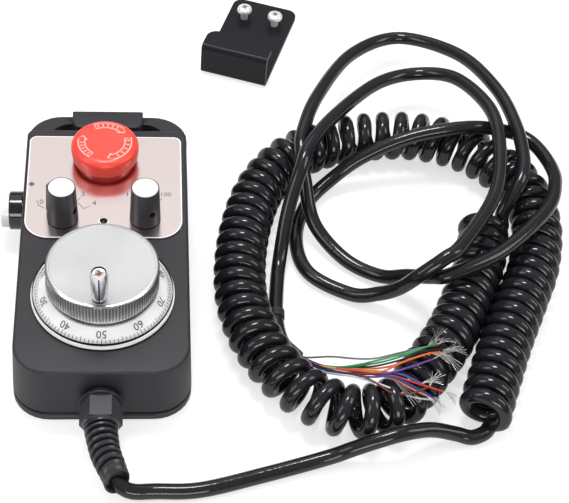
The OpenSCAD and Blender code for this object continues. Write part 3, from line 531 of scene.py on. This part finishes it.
def brushed(name, colour, rough, along=(9, 900, 900), contrast=0.1, **more):
    """Metal with a grain: noise drawn out along the way it was brushed or turned."""
    metal = Finish(name, None, rough, Metallic=1.0, **more)
    stretched = metal.node("ShaderNodeMapping", {}, {"Vector": metal.place(), "Scale": along})
    grain = metal.noise(1, 4, stretched, 0.6)
    metal.set("Base Color", metal.blend(grain,
        [c * (1 - contrast) for c in colour], [min(1, c * (1 + contrast)) for c in colour]))
    metal.set("Roughness", rough - 0.06 + grain * 0.12)
    metal.bump(grain, 0.004 * mm, 0.5)
    return metal


anodised = brushed("plate_anodised", shade("efe1de"), 0.2, (40, 2400, 2400), 0.03)
fit_copy("face_plate_brushed", "face_plate", anodised, "pendant", "plate_silver", edge=0.22)



def middle_of(node):
    """The middle of a solid's box, seen from above."""
    low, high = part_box(node)
    return (low[0] + high[0]) / 2, (low[1] + high[1]) / 2


plate_low, plate_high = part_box("face_plate")
plate_x, plate_y = middle_of("face_plate")
plate_z = plate_high[2]
ink = 0.02
axis_spot, rate_spot = (Vector((*middle_of(side + "_knob_cap"), 0)) / mm for side in ("axis", "rate"))


def printed_line(start, end, width=0.28):
    """A printed stroke between two points of the plate, in millimetres from the panel's middle."""
    start, end = Vector((*start, 0)) * mm, Vector((*end, 0)) * mm
    run = end - start
    bpy.ops.mesh.primitive_plane_add(size=1, location=(0, 0, 0))
    stroke = bpy.context.object
    stroke.scale = (run.length + width * mm, width * mm, 1)
    stroke.rotation_euler = (0, 0, math.atan2(run.y, run.x))
    stroke.location = (start + end) / 2 + Vector((0, 0, plate_z + ink * mm))
    settle()
    return stroke


def plain_number(word, size):
    """A plain number as a flat piece with its middle on the origin."""
    bpy.ops.object.text_add(location=(0, 0, 0))
    text = bpy.context.object
    text.data.body = word
    text.data.size = size * mm
    text.data.align_x = "CENTER"
    text.data.align_y = "CENTER"
    text.data.resolution_u = 3
    bpy.ops.object.convert(target="MESH")
    return text


def join_pieces(name, pieces):
    let_go()
    for piece in pieces:
        piece.select_set(True)
    bpy.context.view_layer.objects.active = pieces[0]
    bpy.ops.object.join()
    pieces[0].name = name
    return pieces[0]


def printing(name, colour):
    print_ink = Finish(name, None, 0.5)
    worn = [c * 1.35 + 0.02 for c in colour]
    print_ink.set("Base Color", print_ink.blend(print_ink.noise(1500, 2), colour, worn))
    print_ink.set("Roughness", 0.42 + print_ink.noise(700, 2) * 0.16)
    return print_ink


grey_ink = printing("plate_ink_grey", shade("595457"))
number_size, smaller_per_figure = 4.2, 0.25
leaders = (
    (axis_spot, (6.2, 9.2), (8.8, 5.6), (11.5, 7)), (axis_spot, (6, 10.4), (7.2, 12.2)),
    (axis_spot, (-8.2, 5.8), (-10.8, 7.3), (-11.7, 10.4)), (axis_spot, (-4.4, 10.6), (-5.4, 12.8)),
    (axis_spot, (0.6, 11.4), (0.6, 13)), (rate_spot, (-5.4, 10), (-6.6, 12.2)),
    (rate_spot, (0.4, 11.4), (0.4, 13)), (rate_spot, (6, 9.8), (7.2, 12)))
strokes = []
for spot, *turns in leaders:
    for start, end in zip(turns, turns[1:]):
        ends = [(spot.x + x, spot.y + y) for x, y in (start, end)]
        strokes.append(printed_line(*ends))
for word, spot, place in (
        ("0", axis_spot, (-9.6, 9.4)), ("1", axis_spot, (-6.2, 15)), ("2", axis_spot, (0.8, 15.4)),
        ("3", axis_spot, (8.3, 14.3)), ("4", axis_spot, (13.4, 8.8)), ("1", rate_spot, (-7.8, 14.4)),
        ("10", rate_spot, (0.6, 15.4)), ("100", rate_spot, (9, 14.4))):
    number = plain_number(word, number_size - smaller_per_figure * len(word))
    number.location = ((spot.x + place[0]) * mm, (spot.y + place[1]) * mm, plate_z + ink * mm)
    settle()
    strokes.append(number)
fit_piece(join_pieces("plate_marks", strokes), grey_ink, "pendant", "plate_silver")

# The bright cut edge: the plate's rim stands a little proud all round
edge_bright = brushed("plate_edge_bright", shade("fbf8f7"), 0.3, (900, 900, 900), 0.02)
edge_bright.set("Metallic", 0.35)
half_l = (plate_high[1] - plate_low[1]) / 2
front_corner, back_corner, edge_w, edge_h = 10.5, 3.5, 0.55, 0.13
bpy.ops.mesh.primitive_plane_add(size=1)
rim = bpy.context.object
rim.scale = (plate_high[0] - plate_low[0], 2 * half_l, 1)
rim.location = (plate_x, plate_y, plate_z - 0.1 * mm)
settle()
bpy.ops.object.mode_set(mode="EDIT")
bpy.ops.mesh.select_mode(type="VERT")
for end, radius in ((-1, front_corner), (1, back_corner)):
    bpy.ops.mesh.select_all(action="DESELECT")
    work = bmesh.from_edit_mesh(rim.data)
    square = [v for v in work.verts if end * (v.co.y - plate_y) > half_l - 0.1 * mm]
    for corner in square:
        corner.select_set(True)
    bpy.ops.mesh.bevel(offset=radius * mm, segments=12, affect="VERTICES")
bpy.ops.mesh.select_all(action="SELECT")
bpy.ops.mesh.inset(thickness=edge_w * mm)
bpy.ops.mesh.delete(type="FACE")
bpy.ops.mesh.select_all(action="SELECT")
bpy.ops.mesh.extrude_region()
bpy.ops.transform.translate(value=(0, 0, edge_h * mm))
bpy.ops.mesh.select_all(action="SELECT")
bpy.ops.mesh.normals_make_consistent(inside=False)
bpy.ops.object.mode_set(mode="OBJECT")
fit_piece(rim, edge_bright, "pendant", "plate_silver").name = "plate_bright_edge"

# The small lozenge printed near the enable button
lozenge_r, lozenge_x, lozenge_y = 1.5, -32.6, 63.9
bpy.ops.mesh.primitive_circle_add(vertices=4, radius=lozenge_r * mm, fill_type="NGON",
    location=(lozenge_x * mm, lozenge_y * mm, plate_z + ink * mm))
bpy.ops.object.mode_set(mode="EDIT")
bpy.ops.mesh.inset(thickness=0.3 * mm)
bpy.ops.object.mode_set(mode="OBJECT")
fit_piece(bpy.context.object, grey_ink, "pendant", "plate_silver").name = "plate_lozenge"


# ---- Indicator -------------------------------------------------------------
# A dark clear lens of 3 mm sits in a small pale rim between the two selector knobs. The lens
# is cast resin with a domed top, pushed into the rim from below.

lens_dark = moulded("indicator_lens", shade("17161a"), 0.12, 400, 0.004, Coat_Weight=0.6)
rim_pale = brushed("indicator_rim", shade("dcdcde"), 0.25, (600, 600, 90), 0.06)
fit_copy("indicator_body", "status_led", lens_dark, "pendant", "led_dark", 40)
fit_copy("indicator_rim", "led_bezel", rim_pale, "pendant", "led_rim", 40)


# ---- Bezel and scale -------------------------------------------------------
# The bezel and the conical scale ring are white enamelled aluminium. A hundred lines and the
# tens from 0 to 90 are printed round the cone in black, with the tops of the figures outward.

enamel = moulded("enamel_white", shade("f4f4f5"), 0.32, 600, 0.006, Coat_Weight=0.3)
fit_copy("bezel_ring", "wheel_bezel", enamel, "pendant", "bezel_white", 28, 0.08)
fit_copy("scale_cone", "scale_ring", enamel, "handwheel", "scale_white", 28)

cone_low, cone_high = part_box("scale_ring")
wheel_low, wheel_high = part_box("wheel_rim")
cone_r = cone_high[0] / mm
cone_foot = cone_low[2] / mm + 0.6
cone_top_r = wheel_high[0] / mm - 0.2
cone_top = wheel_low[2] / mm
slope = math.atan2(cone_top - cone_foot, cone_r - cone_top_r)
line_r = cone_r - 0.2
unit_line, five_line, line_w, figure_size = 1.7, 0.6, 0.22, 4.5
figure_r = line_r - 4.1 * math.cos(slope)


def on_cone(radius, lift=0.03):
    """Height of the cone's face at a radius, with the ink's thickness."""
    return cone_foot + (cone_r - radius) * math.tan(slope) + lift


def scale_lines(name, count, first, radius, length, width):
    """One printed line at a radius, laid on the slope, then spun round the axis as copies."""
    middle = radius - length / 2 * math.cos(slope)
    bpy.ops.mesh.primitive_plane_add(size=1)
    line = bpy.context.object
    line.name = name
    line.scale = (length * mm, width * mm, 1)
    line.rotation_euler = (0, slope, 0)
    line.location = (middle * mm, 0, on_cone(middle) * mm)
    settle()
    line.rotation_euler = (0, 0, math.radians(first))
    settle()
    edit_all()
    bpy.ops.mesh.spin(steps=count, dupli=True, angle=math.tau, center=(0, 0, 0), axis=(0, 0, 1))
    bpy.ops.mesh.remove_doubles(threshold=0.000001)
    bpy.ops.object.mode_set(mode="OBJECT")
    return line


five_r = line_r - (unit_line - 0.1) * math.cos(slope)
lines = [scale_lines("unit_lines", 100, 90, line_r, unit_line, line_w),
    scale_lines("five_lines", 20, 90, five_r, five_line, line_w)]
for k in range(10):
    figure = plain_number(str(10 * k), figure_size)
    figure.rotation_euler = (-slope, 0, 0)
    figure.location = (0, figure_r * mm, on_cone(figure_r) * mm)
    settle()
    figure.rotation_euler = (0, 0, math.radians(36 * k))
    settle()
    lines.append(figure)
scale_marks = join_pieces("scale_marks", lines)
fit_piece(scale_marks, printing("scale_ink_black", shade("3c3a3d")), "handwheel", "scale_white")


# ---- Handwheel -------------------------------------------------------------
# The wheel is turned from aluminium bar: straight flutes are knurled round its band, and a
# bright chamfer runs round the top, where a pale sheet is bonded into the recess.

def axis_of(finish, i, middle=0):
    """One coordinate in a finish, measured from a middle in millimetres."""
    return finish.node("ShaderNodeSeparateXYZ", {}, [finish.place()], i) - middle * mm


band_metal = brushed("wheel_band", shade("b9b8bb"), 0.3, (60, 60, 900), 0.03)
spread, across, height = (axis_of(band_metal, i) for i in (0, 1, 2))
radius = (spread * spread + across * across).calc("SQRT")
outer = wheel_high[0]
# The flutes are painted dark grey down in their hollows as painted shade, and white on their crests as
# painted highlight.
depth = band_metal.node("ShaderNodeMapRange", {}, {
    "Value": radius, "From Min": outer - 0.4 * mm, "From Max": outer - 0.05 * mm})
flute_shade_and_highlight = band_metal.blend(depth, shade("858488"), shade("ffffff"))
band_foot, band_crown = wheel_low[2] + 2.3 * mm, wheel_high[2] - 1.02 * mm
on_band = (height > band_foot) * (height < band_crown) * (radius > outer - 0.6 * mm)
band_metal.set("Base Color", band_metal.blend(on_band, shade("9b9a9d"), flute_shade_and_highlight))
fit_copy("wheel_band", "wheel_rim", band_metal, "handwheel", "rim_metal", 24)
face_pale = moulded("wheel_face_pale", shade("c3c3c4"), 0.4, 900, 0.01, Specular_IOR_Level=0.3)
fit_copy("wheel_disc", "wheel_face", face_pale, "handwheel", "face_white", 28, 0.1)


def turned(name, profile, centre=(0, 0), sides=96):
    """A turned piece: a ring of points is drawn out through each radius and height in turn."""
    x, y = centre
    (radius, height), *rest = profile
    let_go()
    bpy.ops.mesh.primitive_circle_add(vertices=sides, radius=radius * mm,
        location=(x * mm, y * mm, height * mm))
    piece = bpy.context.object
    piece.name = name
    settle()
    edit_all()
    for next_radius, next_height in rest:
        bpy.ops.mesh.extrude_region()
        grow = next_radius / radius
        bpy.ops.transform.resize(value=(grow, grow, 1), center_override=(x * mm, y * mm, 0))
        bpy.ops.transform.translate(value=(0, 0, (next_height - height) * mm))
        radius, height = next_radius, next_height
    bpy.ops.mesh.select_all(action="SELECT")
    bpy.ops.mesh.remove_doubles(threshold=0.000001)
    bpy.ops.mesh.normals_make_consistent(inside=False)
    bpy.ops.object.mode_set(mode="OBJECT")
    bpy.ops.object.shade_smooth_by_angle(angle=math.radians(30))
    return piece


def turned_ring(name, radius, height, steps):
    """A turned ring whose profile is given as steps from one radius and height."""
    return turned(name, [(radius + out, height + up) for out, up in steps], sides=128)


chamfer = brushed("wheel_chamfer", shade("dcdce0"), 0.3, (60, 60, 900), 0.04)
top_r, top_z = wheel_high[0] / mm, wheel_high[2] / mm
fit_piece(turned_ring("wheel_chamfer", top_r, top_z, (
    (-1.5, -0.5), (-0.5, -0.5), (-0.25, -0.32), (-0.62, -0.02), (-0.8, 0.05), (-1.66, 0.05),
    (-1.72, -0.05), (-1.5, -0.5))), chamfer, "handwheel", "rim_metal")

# A polished foot runs round the band below its flutes
polished = brushed("wheel_foot_polish", shade("d4d2d8"), 0.2, (40, 40, 1500), 0.16)
foot_z = wheel_low[2] / mm
fit_piece(turned_ring("wheel_foot", top_r, foot_z, (
    (-1, 0.1), (-0.15, 0.1), (-0.12, 0.5), (0.05, 0.75), (0.05, 2.9), (-0.1, 3.3), (-0.6, 3.5),
    (-1, 3.4), (-1, 0.1))), polished, "handwheel", "rim_metal")

# A thin black ring in the gap between the bezel and the scale is painted shade
gap_shade = moulded("gap_shade_black", shade("0c0c0d"), 0.85, 1500, 0.05, Specular_IOR_Level=0.2)
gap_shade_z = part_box("wheel_bezel")[1][2] / mm
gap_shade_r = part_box("wheel_bezel")[1][0] / mm - 0.95
fit_piece(turned_ring("gap_shade_ring", gap_shade_r, gap_shade_z, (
    (0, -1), (0, -0.1), (0.1, 0.03), (0.24, 0.03), (0.34, -0.1), (0.34, -1), (0, -1))),
    gap_shade, "pendant", "bezel_white")


# ---- Crank handle ----------------------------------------------------------
# The handle is turned brass with bright chrome on it, and spins on a coppery shoulder screw
# with a cross recess that is sunk in its end.

grip_low, grip_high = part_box("crank_handle")
grip = [(low + high) / 2 / mm for low, high in zip(grip_low, grip_high)]
grip_r = (grip_high[0] - grip_low[0]) / 2 / mm
foot, crown = grip_low[2] / mm, grip_high[2] / mm


chrome = brushed("crank_chrome", shade("e4e3e7"), 0.26, (900, 900, 60), 0.03)
aside, front = axis_of(chrome, 0, grip[0]), axis_of(chrome, 1, grip[1])
# A dark stripe down the front of the grip is a painted reflection.
stripe_half, bore_share = 0.28, 0.81
dark_reflection_stripe = (aside.calc("ABSOLUTE") < stripe_half * mm) * (front < 0) * (axis_of(chrome, 2) < (crown - 1) * mm)
# The bore round the screw is painted dark, as painted shade in the gap.
bore_shade = (aside * aside + front * front).calc("SQRT") < bore_share * grip_r * mm
# The chrome is painted darker towards its sides, as painted shade.
sides = aside.calc("ABSOLUTE") / (1.3 * grip_r * mm)
tone = chrome.blend(sides * sides, shade("f4f3f6"), shade("8f8e94"))
chrome.set("Base Color", chrome.blend(dark_reflection_stripe.calc("MAXIMUM", bore_shade), tone, shade("4a494e")))
grip_shape = (
    (0.4, 0), (0.7, 0), (0.78, 0.04), (0.86, 0.2), (0.94, 0.4), (0.99, 0.6), (1, 0.78), (0.98, 0.9),
    (0.93, 0.97), (0.88, 1), (0.8, 1), (0.78, 0.97), (0.78, 0.9), (0.4, 0.9), (0.4, 0))
grip_line = [(grip_r * k, foot + (crown - foot) * h) for k, h in grip_shape]
fit_piece(turned("crank_grip", grip_line, centre=grip[:2], sides=64), chrome, "crank",
    "crank_chrome", "crank_handle")
copper = brushed("shoulder_screw", shade("eadbd4"), 0.34, (500, 500, 500), 0.05)
screw_x, screw_y = (axis_of(copper, i, grip[i]).calc("ABSOLUTE") for i in (0, 1))
slot_half, slot_reach = 0.3 * mm, 1.7 * mm
# The cross recess in the screw's end is painted dark, as painted shade in it.
cross = ((screw_x < slot_half) * (screw_y < slot_reach)).calc(
    "MAXIMUM", (screw_y < slot_half) * (screw_x < slot_reach))
copper.set("Base Color", copper.blend(cross, shade("eadbd4"), shade("8f7464")))
fit_copy("crank_pin", "crank_screw", copper, "handwheel", "screw_copper")


# ---- Stop button -----------------------------------------------------------
# A glossy red collar carries a mushroom head of red plastic with a rolled lip. Three curved
# arrows are stamped on the head in pale foil, outlined, with plain bars inside them.

stop_gloss = moulded("stop_collar_red", shade("c9281f"), 0.35, 500, 0.006, Coat_Weight=0.4)
stop_red = moulded("stop_head_red", shade("ff4435"), 0.34, 500, 0.008, Coat_Weight=0.3, Coat_Roughness=0.3)
fit_copy("stop_ring", "stop_collar", stop_gloss, "pendant", "stop_red_gloss", 28)
head = fit_copy("stop_mushroom_cap", "stop_head", stop_red, "stop_mushroom", "stop_red", 24)
head_x, head_y = middle_of("stop_head")
head_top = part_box("stop_head")[1][2]
foil = moulded("stop_foil", shade("ffb9af"), 0.4, 900, 0.01)
arrow_r, arrow_w, foil_w = 10.4, 3.5, 0.55
barb, barb_flare, barb_step = 2.8, 1.6, 0.02
bar_count, bar_w, bar_l = 5, 0.55, 1.7


def curved_arrow(name, tail, tip):
    """An arrow's outline and its bars, drawn straight, bent round the head and laid on it."""
    sweep = math.radians(tail - tip)
    length = arrow_r * sweep
    neck = length / 2 - barb
    first_bar, bar_step = 1.7 - length / 2, (neck + length / 2 - 2.4) / 4.6
    bpy.ops.mesh.primitive_grid_add(x_subdivisions=24, y_subdivisions=1, size=1)
    arrow = bpy.context.object
    arrow.scale = ((neck + length / 2) * mm, arrow_w * mm, 1)
    arrow.location = ((neck - length / 2) / 2 * mm, 0, 0)
    settle()
    bpy.ops.object.mode_set(mode="EDIT")
    bpy.ops.mesh.select_mode(type="VERT")
    bpy.ops.mesh.select_all(action="DESELECT")
    work = bmesh.from_edit_mesh(arrow.data)
    for corner in work.verts:
        corner.select_set(corner.co.x > (neck - 0.01) * mm)
    work.select_flush(True)
    bpy.ops.mesh.extrude_region()
    bpy.ops.transform.translate(value=(barb_step * mm, 0, 0))
    bpy.ops.transform.resize(value=(1, barb_flare, 1), center_override=(0, 0, 0))
    bpy.ops.mesh.extrude_region()
    bpy.ops.transform.translate(value=((barb - barb_step) * mm, 0, 0))
    bpy.ops.transform.resize(value=(1, 0.02, 1), center_override=(0, 0, 0))
    bpy.ops.mesh.select_all(action="SELECT")
    bpy.ops.mesh.inset(thickness=foil_w * mm)
    bpy.ops.mesh.delete(type="FACE")
    bpy.ops.object.mode_set(mode="OBJECT")
    bars = []
    for k in range(bar_count):
        bpy.ops.mesh.primitive_plane_add(size=1, location=((first_bar + k * bar_step) * mm, 0, 0))
        bar = bpy.context.object
        bar.scale = (bar_w * mm, bar_l * mm, 1)
        settle()
        bars.append(bar)
    arrow = join_pieces(name, [arrow, *bars])
    bend = arrow.modifiers.new("bend", "SIMPLE_DEFORM")
    bend.deform_method = "BEND"
    bend.deform_axis = "Z"
    bend.angle = -sweep
    bpy.ops.object.modifier_apply(modifier="bend")
    arrow.location = (0, arrow_r * mm, 0)
    settle()
    arrow.rotation_euler = (0, 0, math.radians((tail + tip) / 2 - 90))
    arrow.location = (head_x, head_y, head_top + 1 * mm)
    settle()
    laid = arrow.modifiers.new("laid", "SHRINKWRAP")
    laid.target = head
    laid.wrap_method = "PROJECT"
    laid.use_project_z = True
    laid.use_positive_direction = False
    laid.use_negative_direction = True
    laid.offset = 0.03 * mm
    bpy.ops.object.modifier_apply(modifier="laid")
    return arrow


for name, tail, tip in (
        ("stop_arrow_left", 236, 158), ("stop_arrow_back", 117, 32), ("stop_arrow_right", 14, -84)):
    fit_piece(curved_arrow(name, tail, tip), foil, "stop_mushroom", "stop_red")


# ---- Selector knobs --------------------------------------------------------
# Two tapered knobs of satin black plastic with a thin pointer fin and a grub screw in the
# side. Each has a snapped-in white cap, and turns on the steel shaft of a rotary switch.

knob_satin = moulded("knob_black_satin", shade("343236"), 0.42, 1800, 0.02, Specular_IOR_Level=0.45)
cap_white = moulded("knob_cap_white", shade("f6f6f6"), 0.4, 700, 0.008)
grub_black = brushed("grub_screw", shade("2c2b2e"), 0.45, (700, 700, 700), 0.2)
for side in ("axis", "rate"):
    body = side + "_selector"
    fit_copy(side + "_knob_body", side + "_knob", knob_satin, body, "knob_black", 30, 0.12)
    fit_copy(side + "_cap", side + "_knob_cap", cap_white, body, "knob_white", 30, 0.08)
    dress(grub_black, side + "_knob_screw")


# ---- Enable button ---------------------------------------------------------
# A glossy black barrel stands out of the left wall, and a milky white cap slides in it against
# the switch behind.

barrel_gloss = moulded("enable_barrel_gloss", shade("131214"), 0.12, 500, 0.004, Coat_Weight=0.5)
cap_milky = moulded("enable_cap_milky", shade("f6f6f5"), 0.3, 500, 0.006, Coat_Weight=0.4)
fit_copy("enable_sleeve", "enable_barrel", barrel_gloss, "pendant", "enable_black", 28, 0.1)
fit_copy("enable_top", "enable_cap", cap_milky, "enable_push", "enable_white", 28, 0.15)


# ---- Cord gland and bend guard ---------------------------------------------
# A black nylon gland screws into the cord end of the case: a textured neck, a flange and a
# hexagon. The soft ribbed guard behind it keeps the cord from kinking and droops with it.

nylon = moulded("gland_nylon", shade("2a282c"), 0.3, 500, 0.1)
# The hexagon is the neck's black nylon, painted lighter as painted light on its facets.
hexagon_painted_lit = moulded("gland_cap_nylon", shade("3b3940"), 0.24, 1200, 0.02, Specular_IOR_Level=0.7)
fit_copy("gland_neck", "gland_collar", nylon, "pendant", "gland_black", 28, 0.2)
fit_copy("gland_hexagon", "gland_body", hexagon_painted_lit, "pendant", "gland_cap", 24, 0.35)

guard_route = [(0, -57.0, 15.7), (0.4, -60.1, 15.3), (1.1, -63.9, 14.6), (1.9, -67.5, 13.5),
    (3.2, -70.6, 12.1), (5, -74.3, 10.7), (6.8, -78.6, 9.3)]
guard_line = smooth_line(guard_route, 20)
guard_ribs, guard_start, guard_end = 7, 6.9, 5.75
rings_per_rib, groove_depth = 12, 2.1
collar_share = 0.14
# Degrees by which the guard swings aside at its root and along it, and droops along it
swing_root, swing, droop = 4, 26, 20


def ring_at(share, radius):
    """A station of the guard: its middle, how far it is turned and tilted there, and its radius."""
    at = share * (len(guard_line) - 1)
    i = min(int(at), len(guard_line) - 2)
    middle = guard_line[i].lerp(guard_line[i + 1], at - i)
    return middle, swing_root + swing * share, droop * share, radius


def drawn_rings(name, stations, sides=48):
    """A closed tube: a ring is drawn out from station to station, turned and tilted on the way."""
    (middle, heading, tilt, radius), *rest = stations
    let_go()
    bpy.ops.mesh.primitive_circle_add(vertices=sides, radius=radius * mm, fill_type="NGON",
        location=middle * mm, rotation=(math.radians(90 - tilt), 0, math.radians(heading)))
    piece = bpy.context.object
    piece.name = name
    settle()
    edit_all()
    for next_middle, next_heading, next_tilt, next_radius in rest:
        bpy.ops.mesh.extrude_region()
        grow = next_radius / radius
        bpy.ops.transform.resize(value=(grow, grow, grow), center_override=middle * mm)
        for turn, axis in ((heading - next_heading, "Z"), (next_tilt - tilt, "X")):
            bpy.ops.transform.rotate(value=math.radians(turn), orient_axis=axis,
                center_override=middle * mm)
        bpy.ops.transform.translate(value=(next_middle - middle) * mm)
        middle, heading, tilt, radius = next_middle, next_heading, next_tilt, next_radius
    bpy.ops.mesh.select_all(action="SELECT")
    bpy.ops.mesh.normals_make_consistent(inside=False)
    bpy.ops.object.mode_set(mode="OBJECT")
    bpy.ops.object.shade_smooth_by_angle(angle=math.radians(35))
    return piece


stations = []
steps = guard_ribs * rings_per_rib
for k in range(steps + 1):
    share = (1 - collar_share) * k / steps
    taper = guard_start + (guard_end - guard_start) * share
    wave = 0.5 - 0.5 * math.cos(math.tau * (k / rings_per_rib - 0.1))
    groove = min(1, max(0, (wave - 0.3) / 0.4))
    stations.append(ring_at(share, taper - groove_depth * groove))
stations += [ring_at(1 - collar_share + step, guard_end + lift) for step, lift in (
    (0.012, 0), (0.06, 0), (collar_share - 0.01, 0), (collar_share, -0.25), (collar_share, -0.75),
    (collar_share - 0.01, -0.95), (collar_share - 0.09, -1.1), (collar_share - 0.09, -4))]
guard = drawn_rings("bend_guard_ribbed", stations)
guard_soft = moulded("bend_guard_soft", shade("242227"), 0.33, 900, 0.008, Specular_IOR_Level=0.8)
fit_piece(guard, guard_soft, "pendant", "guard_black", "bend_guard")


# ---- Wall bracket ----------------------------------------------------------
# A steel strip bent to a J and painted satin black. The pendant's tab hangs in it, and two
# zinc-plated pan-head screws stand in its holes.

paint = moulded("bracket_paint", shade("16171c"), 0.36, 1500, 0.02, Specular_IOR_Level=0.25)
zinc = brushed("bracket_screw_zinc", shade("f4f4f5"), 0.34, (500, 500, 500), 0.03)
zinc.set("Metallic", 0.5)
fit_copy("bracket_strip", "bracket", paint, "wall_bracket", "bracket_black", 32, 0.18)
bolts = fit_copy("bracket_bolts", "bracket_screws", zinc, "wall_bracket", "bracket_screw", 32, 0.12)
screw_low, screw_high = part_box("bracket_screws")
between_x = (screw_low[0] + screw_high[0]) / 2
cross_turn, cross_l, cross_w, cross_h = 20, 2.8, 0.55, 0.12
crosses = []
for left in (True, False):
    on_top = [v.co for v in bolts.data.vertices
        if v.co.z > screw_high[2] - 0.6 * mm and (v.co.x < between_x) == left]
    spot = sum(on_top, Vector()) / len(on_top)
    for turn in (cross_turn, cross_turn + 90):
        bpy.ops.mesh.primitive_cube_add(size=1, location=(spot.x, spot.y, screw_high[2] - 0.04 * mm),
            rotation=(0, 0, math.radians(turn)))
        bar = bpy.context.object
        bar.scale = (cross_l * mm, cross_w * mm, cross_h * mm)
        crosses.append(bar)
# The crosses on the screw heads are painted grey, as painted shade in their recesses.
recess_painted_shade = moulded("cross_recess", shade("6f6e72"), 0.5, 900, 0.02)
fit_piece(join_pieces("bracket_bolt_crosses", crosses), recess_painted_shade, "wall_bracket", "bracket_screw")


# ---- Metal pieces inside ---------------------------------------------------
# Screws, shafts, bearings, studs and nuts are zinc-plated or ground steel, the spring of the
# stop button is drawn wire, and the detent spring is stamped from brass sheet.

dress(brushed("plated_steel", shade("c3c3c7"), 0.3, (400, 400, 400), 0.12), "cover_screws", "bezel_studs",
    "axis_switch_nut", "rate_switch_nut")
dress(brushed("ground_steel", shade("cfd0d3"), 0.2, (900, 900, 40), 0.08), "wheel_shaft", "encoder_bearings",
    "axis_shaft", "rate_shaft")
dress(brushed("disc_steel", shade("b9bbbf"), 0.22, (300, 300, 300), 0.08), "code_disc")
# The spring under the plunger, which the real stop button squeezes as it goes down, gets a mesh of its own
spring_wire = brushed("spring_wire", shade("aeb0b4"), 0.28, (900, 900, 900), 0.1)
spring = fit_copy("stop_return_spring", "stop_spring", spring_wire, "pendant", "spring_steel", 60)
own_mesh(spring)
dress(brushed("spring_brass", shade("c9a255"), 0.3, (60, 900, 900), 0.14), "detent_spring")
dress(grub_black, "wheel_set_screws")


# ---- Plastic pieces inside -------------------------------------------------
# The encoder's can, the barrels and lock nuts are black nylon. Switches, contact block,
# terminal block and detent wheel are moulded in the colours that makers use for them.

dress(moulded("inner_nylon", shade("242327"), 0.5, 900, 0.04), "encoder_can", "stop_barrel", "stop_nut",
    "enable_nut", "gland_nut")
dress(moulded("detent_acetal", shade("8a7a55"), 0.4, 700, 0.02), "detent_wheel")
dress(moulded("terminal_green", shade("3f9a5a"), 0.38, 900, 0.03), "terminal_block")
dress(moulded("contact_cream", shade("d9d3c2"), 0.42, 900, 0.03), "stop_contacts")
dress(moulded("plunger_white", shade("dedcd6"), 0.36, 700, 0.02), "stop_plunger", "enable_stem")
dress(moulded("switch_brown", shade("6b4a34"), 0.42, 900, 0.03), "axis_switch", "rate_switch")
dress(moulded("switch_blue", shade("3a6ea8"), 0.4, 900, 0.03), "enable_switch")


# ---- Encoder board ---------------------------------------------------------
# A green glass-fibre board with copper lines under its lacquer and tinned lands, which
# carries the light gate that reads the code disc.

board = Finish("board_green", None, 0.34, Coat_Weight=0.3)
grid = board.node("ShaderNodeTexBrick", {"offset": 0.5}, {
    "Vector": board.place(), "Scale": 260, "Mortar Size": 0.012, "Color1": (0.0, 0.0, 0.0),
    "Color2": (0.0, 0.0, 0.0), "Mortar": (1.0, 1.0, 1.0)}, "Fac")
lands = board.node("ShaderNodeTexVoronoi", {}, {"Vector": board.place(), "Scale": 320}, "Distance") < 0.16
lacquer = board.blend(grid, shade("1f6b3a"), shade("3c8f52"))
board.set("Base Color", board.blend(lands, lacquer, shade("c9c6bb")))
board.set("Roughness", 0.3 + board.noise(900, 2) * 0.14)
dress(board, "encoder_board")
